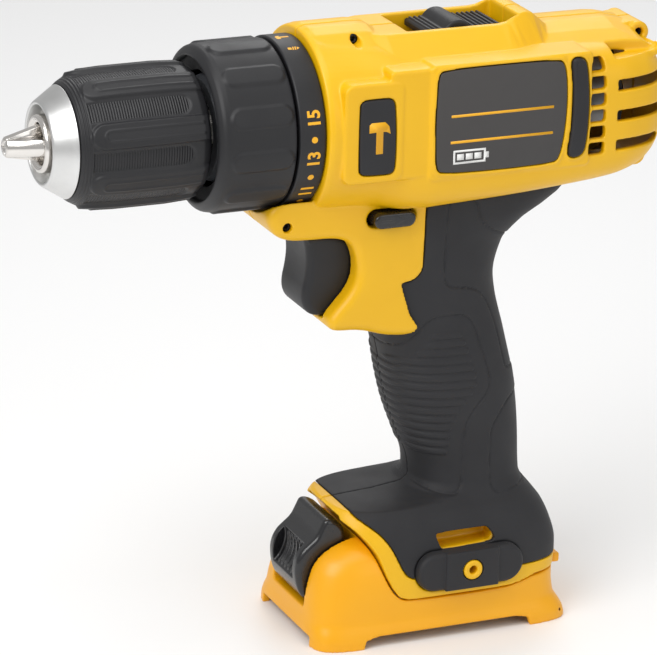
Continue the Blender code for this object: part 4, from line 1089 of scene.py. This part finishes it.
HAMMER_ICON = (
    (-3.3, 1.9), (-3.3, 4.3), (-2.6, 4.9), (1.6, 4.9), (2.9, 3.6), (3.4, 1.2), (2.2, 1.9), (1.1, 2.0), (1.1, -4.6),
    (-1.1, -4.6), (-1.1, 2.0),
)
BIT_ICON = (
    ((-0.5, 1.7), (0.5, 1.7), (0.5, 0.6), (-0.5, 0.6)), ((-0.75, 0.45), (0.75, 0.15), (0.75, -0.25), (-0.75, 0.05)),
    ((-0.75, -0.25), (0.75, -0.55), (0.75, -0.95), (-0.75, -0.65)), ((-0.7, -0.95), (0.6, -1.2), (0.0, -1.9)),
)


DIAL_RADIUS, DIAL_PITCH = 25.25, 27.8


def dial_marks():
    """Torque numbers from 1 to 15 with a dot between each pair, and the two mode marks."""
    parts = []
    for step in range(8):
        parts.append((text_mesh("number", str(15 - 2 * step), 4.0), 85.5, 73.5 + DIAL_PITCH * step))
        if step < 7:
            parts.append((flat_icon("dot", [circle((0.0, 0.0), 0.95, 24)]), 85.5, 87.6 + DIAL_PITCH * step))
    small = [[(x * 0.42, y * 0.42) for x, y in HAMMER_ICON]]
    parts.append((flat_icon("hammer_mark", small), 85.0, 1.4))
    parts.append((flat_icon("bit_mark", BIT_ICON), 85.4, 19.1))
    shape = bmesh.new()
    for mesh, x, degrees in parts:
        shape.from_mesh(round_band(mesh, x, degrees, DIAL_RADIUS))
    mesh = bpy.data.meshes.new("dial_marks")
    shape.to_mesh(mesh)
    shape.free()
    made = bpy.data.objects.new("dial_marks", mesh)
    bpy.context.scene.collection.objects.link(made)
    turn_outward(made)
    add_piece(made, "dial_marks", "collar", [], PRINT)


def turn_outward(obj):
    shape = bmesh.new()
    shape.from_mesh(obj.data)
    bmesh.ops.recalc_face_normals(shape, faces=shape.faces)
    shape.to_mesh(obj.data)
    shape.free()


# Trim and controls

def side_trim():
    """Badge, bumper, hammer pad and belt-hook pad on each side, with the marks printed on them."""
    for side, sign in SIDES:
        plate = domed("plate", curved(BADGE, 2), 27.3, 28.65, 0.25, sign)
        add_piece(plate, f"{side}_badge_plate", "housing", [f"{side}_badge"], BADGE_FILM)
        bumper = domed("bumper", curved(BUMPER, 2), 27.3, 29.35, 1.0, sign)
        add_piece(bumper, f"{side}_bumper_strip", "housing", [f"{side}_bumper"], RUBBER)
        pad = domed("pad", curved(HAMMER_PAD, 2), 26.3, 28.1, 0.6, sign)
        add_piece(pad, f"{side}_mode_pad", "housing", [f"{side}_hammer_pad"], RUBBER)
        icon = [(104.6 + x * -sign, 0.4 + z) for x, z in HAMMER_ICON]
        mark = side_prism("mark", icon, 28.0, 28.16, sign)
        add_piece(mark, f"{side}_mode_mark", "housing", [], PRINT)
        hook_pad(side, sign)
        badge_marks(side, sign)


def badge_marks(side, sign):
    """Two plain stripes and a generic battery mark on the plate."""
    lines = []
    for z in (4.6, -3.3):
        lines.append(((127.0, z), (160.0, z), (160.0, z + 0.8), (127.0, z + 0.8)))
    shape = None
    for line in lines:
        stripe = side_prism("stripe", line, 28.5, 28.7, sign)
        shape = stripe if shape is None else joined(shape, stripe)
    add_piece(shape, f"{side}_badge_stripes", "housing", [], PRINT)
    case = (
        (128.0, -9.6), (128.0, -5.4), (138.4, -5.4), (138.4, -6.6), (139.4, -6.6), (139.4, -8.4), (138.4, -8.4),
        (138.4, -9.6),
    )
    cell = side_prism("cell", case, 28.5, 28.7, sign)
    inner = side_prism("cell_inside", ((128.6, -9.0), (128.6, -6.0), (137.8, -6.0), (137.8, -9.0)), 28.0, 29.0, sign)
    carve(cell, inner)
    for i in range(3):
        x = 129.2 + i * 2.8
        line = ((x, -8.4), (x, -6.6), (x + 2.2, -6.6), (x + 2.2, -8.4))
        cell = joined(cell, side_prism("bar", line, 28.5, 28.7, sign))
    add_piece(cell, f"{side}_battery_mark", "housing", [], WHITE_PRINT)


def joined(first, second):
    """Two meshes in one object."""
    shape = bmesh.new()
    shape.from_mesh(first.data)
    shape.from_mesh(second.data)
    shape.to_mesh(first.data)
    shape.free()
    bpy.data.objects.remove(second)
    return first


def hook_pad(side, sign):
    """The belt hook's pad: a raised flat middle between two lower rounded ends, round a yellow boss."""
    pad = domed("hook_pad", stadium(HOOK_CENTRE, 17.6, 6.1, 24), 23.7, 27.2, 1.6, sign, 8)
    x, z = HOOK_CENTRE
    middle = ((x - 8.8, z - 6.1), (x + 8.8, z - 6.1), (x + 8.8, z + 6.1), (x - 8.8, z + 6.1))
    carve(pad, domed("hook_middle", middle, 23.7, 28.0, 0.5, sign), how="UNION")
    carve(pad, side_prism("hook_hole", circle(HOOK_CENTRE, 3.4), 20.0, 32.0, sign))
    moulded(pad, 0.2, 3, 60000)
    add_piece(pad, f"{side}_hook_plate", "housing", [f"{side}_hook_pad"], RUBBER)


def controls():
    """Trigger, reversing lever, speed selector and latch."""
    trigger = cushion("trigger_body", curved(TRIGGER, 2), 9.5, 2.2)
    plunger = lathe("plunger", ((104.0, 0.0), (104.0, 2.4), (118.4, 2.4), (118.4, 0.0)), 32, (0.0, -42.0))
    carve(trigger, plunger, how="UNION")
    moulded(trigger, 0.25, 5, 60000)
    add_piece(trigger, "trigger_button", "trigger", ["trigger"], NYLON)
    lever()
    selector()
    latch()


def lever():
    """A bar through the housing, with a domed button and a raised arrow at each end."""
    line = stadium(LEVER_CENTRE, 6.6, 2.4, 24)
    bar = cushion("lever_bar", line, 19.9, 0.9)
    for _, sign in SIDES:
        arrow = (
            (109.6, -28.3), (109.6, -27.7), (114.4, -27.7), (114.4, -26.8), (117.2, -28.0), (114.4, -29.2),
            (114.4, -28.3),
        )
        carve(bar, side_prism("arrow", arrow, 19.0, 20.0, sign), how="UNION")
    moulded(bar, 0.16, 2, 60000)
    add_piece(bar, "reversing_bar", "lever", ["direction_lever"], GLOSS)


def selector():
    """The speed slider: a ribbed plate with a thumb hump across its middle."""
    plate = ((128.2, 22.7), (128.2, 24.2), (128.8, 24.8), (153.0, 24.7), (153.6, 24.1), (153.6, 22.7))
    knob = prism("speed_knob", plate, (-9.1, 9.1))
    hump = curved(((132.0, 23.6), (134.4, 26.8), (136.6, 27.9), (139.4, 27.7), (141.4, 26.2), (143.0, 23.6)), 2)
    carve(knob, cushion("hump", hump, 8.6, 0.8), how="UNION")
    for x in (129.6, 131.2, 132.8, 143.4, 145.0, 146.6, 148.2, 149.8, 151.4):
        rib = ((x - 0.45, 23.6), (x - 0.35, 25.4), (x + 0.35, 25.4), (x + 0.45, 23.6))
        carve(knob, prism("rib", rib, (-8.4, 8.4)), how="UNION")
    moulded(knob, 0.22, 2, 70000)
    add_piece(knob, "speed_slider", "selector", ["speed_selector"], NYLON)
    fork = block("fork_plate", (131.0, 147.0), (-7.0, 7.0), (21.0, 22.4))
    add_piece(fork, "fork_plate", "selector", ["shift_fork"], ZINC)


def latch():
    """The battery latch: a hood at its top, and a thumb scoop with upright ribs below it."""
    body = cushion("latch_body", curved(LATCH, 2), 11.1, 1.6)
    scoop, ribs, pitch = (82.6, -134.6), 5, 2.4
    carve(body, prism("latch_bowl", circle(scoop, 10.6, 64), (-7.6, 7.6)))
    for i in range(ribs):
        y = (i - (ribs - 1) / 2) * pitch
        bar = block("latch_rib", (84.0, 97.0), (y - 0.5, y + 0.5), (-143.4, -125.6))
        carve(bar, prism("rib_line", circle(scoop, 9.9, 64), (-12.0, 12.0)))
        carve(bar, cushion("rib_limit", curved(grown(LATCH, -0.8), 2), 10.0, 1.0), how="INTERSECT")
        carve(body, bar, how="UNION")
    carve(body, lathe("latch_bore", ((97.0, 0.0), (97.0, 3.3), (110.0, 3.3), (110.0, 0.0)), 48, (0.0, -139.0)))
    moulded(body, 0.22, 3, 90000)
    add_piece(body, "latch_hood", "latch", ["latch_button"], GLOSS)


def screws():
    """Four thread-forming screws, deep in their bosses, with a six-pointed recess in each head."""
    for name, ((x, z), reach) in SCREWS.items():
        start = -reach + 1.5
        head = prism(name, circle((x, z), 1.4, 32), (start, start + 1.6))
        star = []
        for k in range(24):
            angle = math.tau * k / 24
            r = 0.72 + 0.16 * math.cos(6 * angle)
            star.append((x + r * math.cos(angle), z + r * math.sin(angle)))
        carve(head, prism("star", star, (start - 1.0, start + 1.0)))
        carve(head, prism("shank", circle((x, z), 1.1, 24), (start + 1.0, reach - 2.6)), how="UNION")
        add_piece(head, f"{name}_star_drive", "housing", [name], DARK)


# What repeats, made by node trees

def node_tool(name, inputs):
    """An empty geometry tree with named inputs and one output, and its input and output nodes."""
    tree = bpy.data.node_groups.new(name, "GeometryNodeTree")
    for title, kind in inputs:
        tree.interface.new_socket(title, in_out="INPUT", socket_type=kind)
    tree.interface.new_socket("Geometry", in_out="OUTPUT", socket_type="NodeSocketGeometry")
    return tree, wire(tree, "NodeGroupInput").outputs, wire(tree, "NodeGroupOutput").inputs


def grow_with(name, tree, values):
    """A plain mesh made by the tree from these named values."""
    start = bpy.data.objects.new(name, bpy.data.meshes.new(name))
    bpy.context.scene.collection.objects.link(start)
    step = start.modifiers.new("grow", "NODES")
    step.node_group = tree
    for item in tree.interface.items_tree:
        if item.in_out == "INPUT" and item.name in values:
            step[item.identifier] = values[item.name]
    bake(start)
    for face in start.data.polygons:
        face.use_smooth = True
    return start


def coil_tree():
    """A round-wire compression spring along the drill's axis."""
    tree, given, out = node_tool("wound_spring", (
        ("Turns", "NodeSocketFloat"), ("Radius", "NodeSocketFloat"), ("Length", "NodeSocketFloat"),
        ("Wire", "NodeSocketFloat"), ("Material", "NodeSocketMaterial"),
    ))
    path = wire(tree, "GeometryNodeCurveSpiral", {
        "Resolution": 40, "Rotations": given["Turns"], "Start Radius": given["Radius"],
        "End Radius": given["Radius"], "Height": given["Length"],
    })
    section = wire(tree, "GeometryNodeCurvePrimitiveCircle", {"Resolution": 12, "Radius": given["Wire"]})
    swept = wire(tree, "GeometryNodeCurveToMesh", {
        "Curve": path.outputs[0], "Profile Curve": section.outputs[0], "Fill Caps": True,
    })
    laid = wire(tree, "GeometryNodeTransform", {
        "Geometry": swept.outputs[0], "Rotation": (0.0, math.pi / 2, 0.0),
    })
    painted = wire(tree, "GeometryNodeSetMaterial", {"Geometry": laid.outputs[0], "Material": given["Material"]})
    tree.links.new(painted.outputs[0], out["Geometry"])
    return tree


def springs():
    """The clutch, trigger and latch springs."""
    tree = coil_tree()
    table = (
        ("clutch_coil", "clutch_spring", "housing", "dark_steel", DARK, 63.8, 80.4, 19.2, 1.1, 4.0, 0.0),
        ("trigger_coil", "trigger_spring", "trigger", "satin_steel", ZINC, 106.4, 116.0, 4.4, 0.5, 5.0, -42.0),
        ("latch_coil", "latch_spring", "latch", "satin_steel", ZINC, 97.4, 107.9, 2.5, 0.45, 6.0, -139.0),
    )
    for name, node, body, slot, material, start, end, radius, thick, turns, z in table:
        made = grow_with(name, tree, {
            "Turns": turns, "Radius": radius * MM, "Length": (end - start - 2 * thick) * MM, "Wire": thick * MM,
            "Material": material,
        })
        made.data.transform(Matrix.Translation(place(start + thick, 0.0, z)))
        add_piece(made, name, body, [node], material)


# Room, light and camera

def studio():
    """A wide pale floor, an even white room and four soft lights round the object."""
    made = bpy.data.meshes.new("floor")
    size = 6.0
    made.from_pydata([(-size, -size, 0), (size, -size, 0), (size, size, 0), (-size, size, 0)], [], [(0, 1, 2, 3)])
    floor_piece = bpy.data.objects.new("floor", made)
    bpy.context.scene.collection.objects.link(floor_piece)
    matte, _, _ = shader("pale_floor", Base_Color=paint("f4f4f4"), Roughness=0.6)
    made.materials.append(matte)
    world = bpy.data.worlds.new("studio")
    bpy.context.scene.world = world
    world.use_nodes = True
    world.node_tree.nodes["Background"].inputs["Color"].default_value = (1.0, 1.0, 1.0, 1.0)
    world.node_tree.nodes["Background"].inputs["Strength"].default_value = 0.52
    target = Vector(place(100.0, 0.0, -66.0))
    for name, azimuth, elevation, far, size, power in (
        ("key", -62.0, 42.0, 0.9, 0.55, 4.5),
        ("fill", 25.0, 24.0, 1.1, 0.7, 1.6),
        ("top", -10.0, 82.0, 0.9, 0.6, 2.4),
        ("back", 150.0, 40.0, 1.0, 0.5, 2.0),
    ):
        a, e = math.radians(azimuth), math.radians(elevation)
        away = Vector((math.sin(a) * math.cos(e), -math.cos(a) * math.cos(e), math.sin(e)))
        light = bpy.data.lights.new(name, "AREA")
        light.size, light.energy = size, power
        lamp = bpy.data.objects.new(name, light)
        lamp.location = target + away * far
        lamp.rotation_mode = "QUATERNION"
        lamp.rotation_quaternion = away.to_track_quat("Z", "Y")
        bpy.context.scene.collection.objects.link(lamp)


def camera():
    """A long lens from the front left, a little above."""
    azimuth, elevation, roll = math.radians(-23.646), math.radians(19.450), math.radians(1.419)
    back = Vector((
        math.sin(azimuth) * math.cos(elevation), -math.cos(azimuth) * math.cos(elevation), math.sin(elevation),
    ))
    right = (-back).cross(Vector((0, 0, 1))).normalized()
    up = right.cross(-back)
    level = right * math.cos(roll) + up * math.sin(roll)
    raised = up * math.cos(roll) - right * math.sin(roll)
    lens = bpy.data.cameras.new("long_lens")
    lens.sensor_width, lens.lens = 36.0, 230.11
    lens.shift_x, lens.shift_y = 0.01086, -0.00133
    made = bpy.data.objects.new("long_lens", lens)
    bpy.context.scene.collection.objects.link(made)
    spot = Vector(place(100.0, 0.0, -65.8303)) + back * 1.25468
    made.matrix_world = Matrix((
        (level.x, raised.x, back.x, spot.x), (level.y, raised.y, back.y, spot.y),
        (level.z, raised.z, back.z, spot.z), (0, 0, 0, 1),
    ))
    bpy.context.scene.camera = made


INNER_FINISHES = (
    (ZINC, ("motor_can", "clutch_pressure_ring")),
    (NYLON, ("motor_end_cap", "terminal_block")),
    (COPPER, ("rotor",)),
    (CARBON, ("brush_left", "brush_right")),
    (GREY, ("gearbox_case", "switch_module")),
    (SINTER, ("hammer_ratchet_fixed", "hammer_ratchet_turning", "carrier_front", "carrier_rear", "ring_gear_front")),
    (SINTER, ("ring_gear_rear", "planet_front_1", "planet_front_2", "planet_front_3")),
    (SINTER, ("planet_rear_1", "planet_rear_2", "planet_rear_3")),
    (CHROME, ("front_bearing",)),
    (STEEL, ("output_spindle",)),
    (DARK, ("jaw_nut",)),
    (BRASS, ("terminal_blade_left", "terminal_blade_right")),
)


def finish_cad():
    """Gives each inner part that is kept as it is the finish of its real material."""
    for material, names in INNER_FINISHES:
        for name in names:
            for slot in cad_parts[name].material_slots:
                slot.material = material


studio()
camera()
bpy.context.scene.view_settings.view_transform = "Standard"
housing()
grips()
shoe()
chuck_body()
for number in range(3):
    jaw(number)
clutch_parts()
dial_marks()
side_trim()
controls()
screws()
springs()
finish_cad()
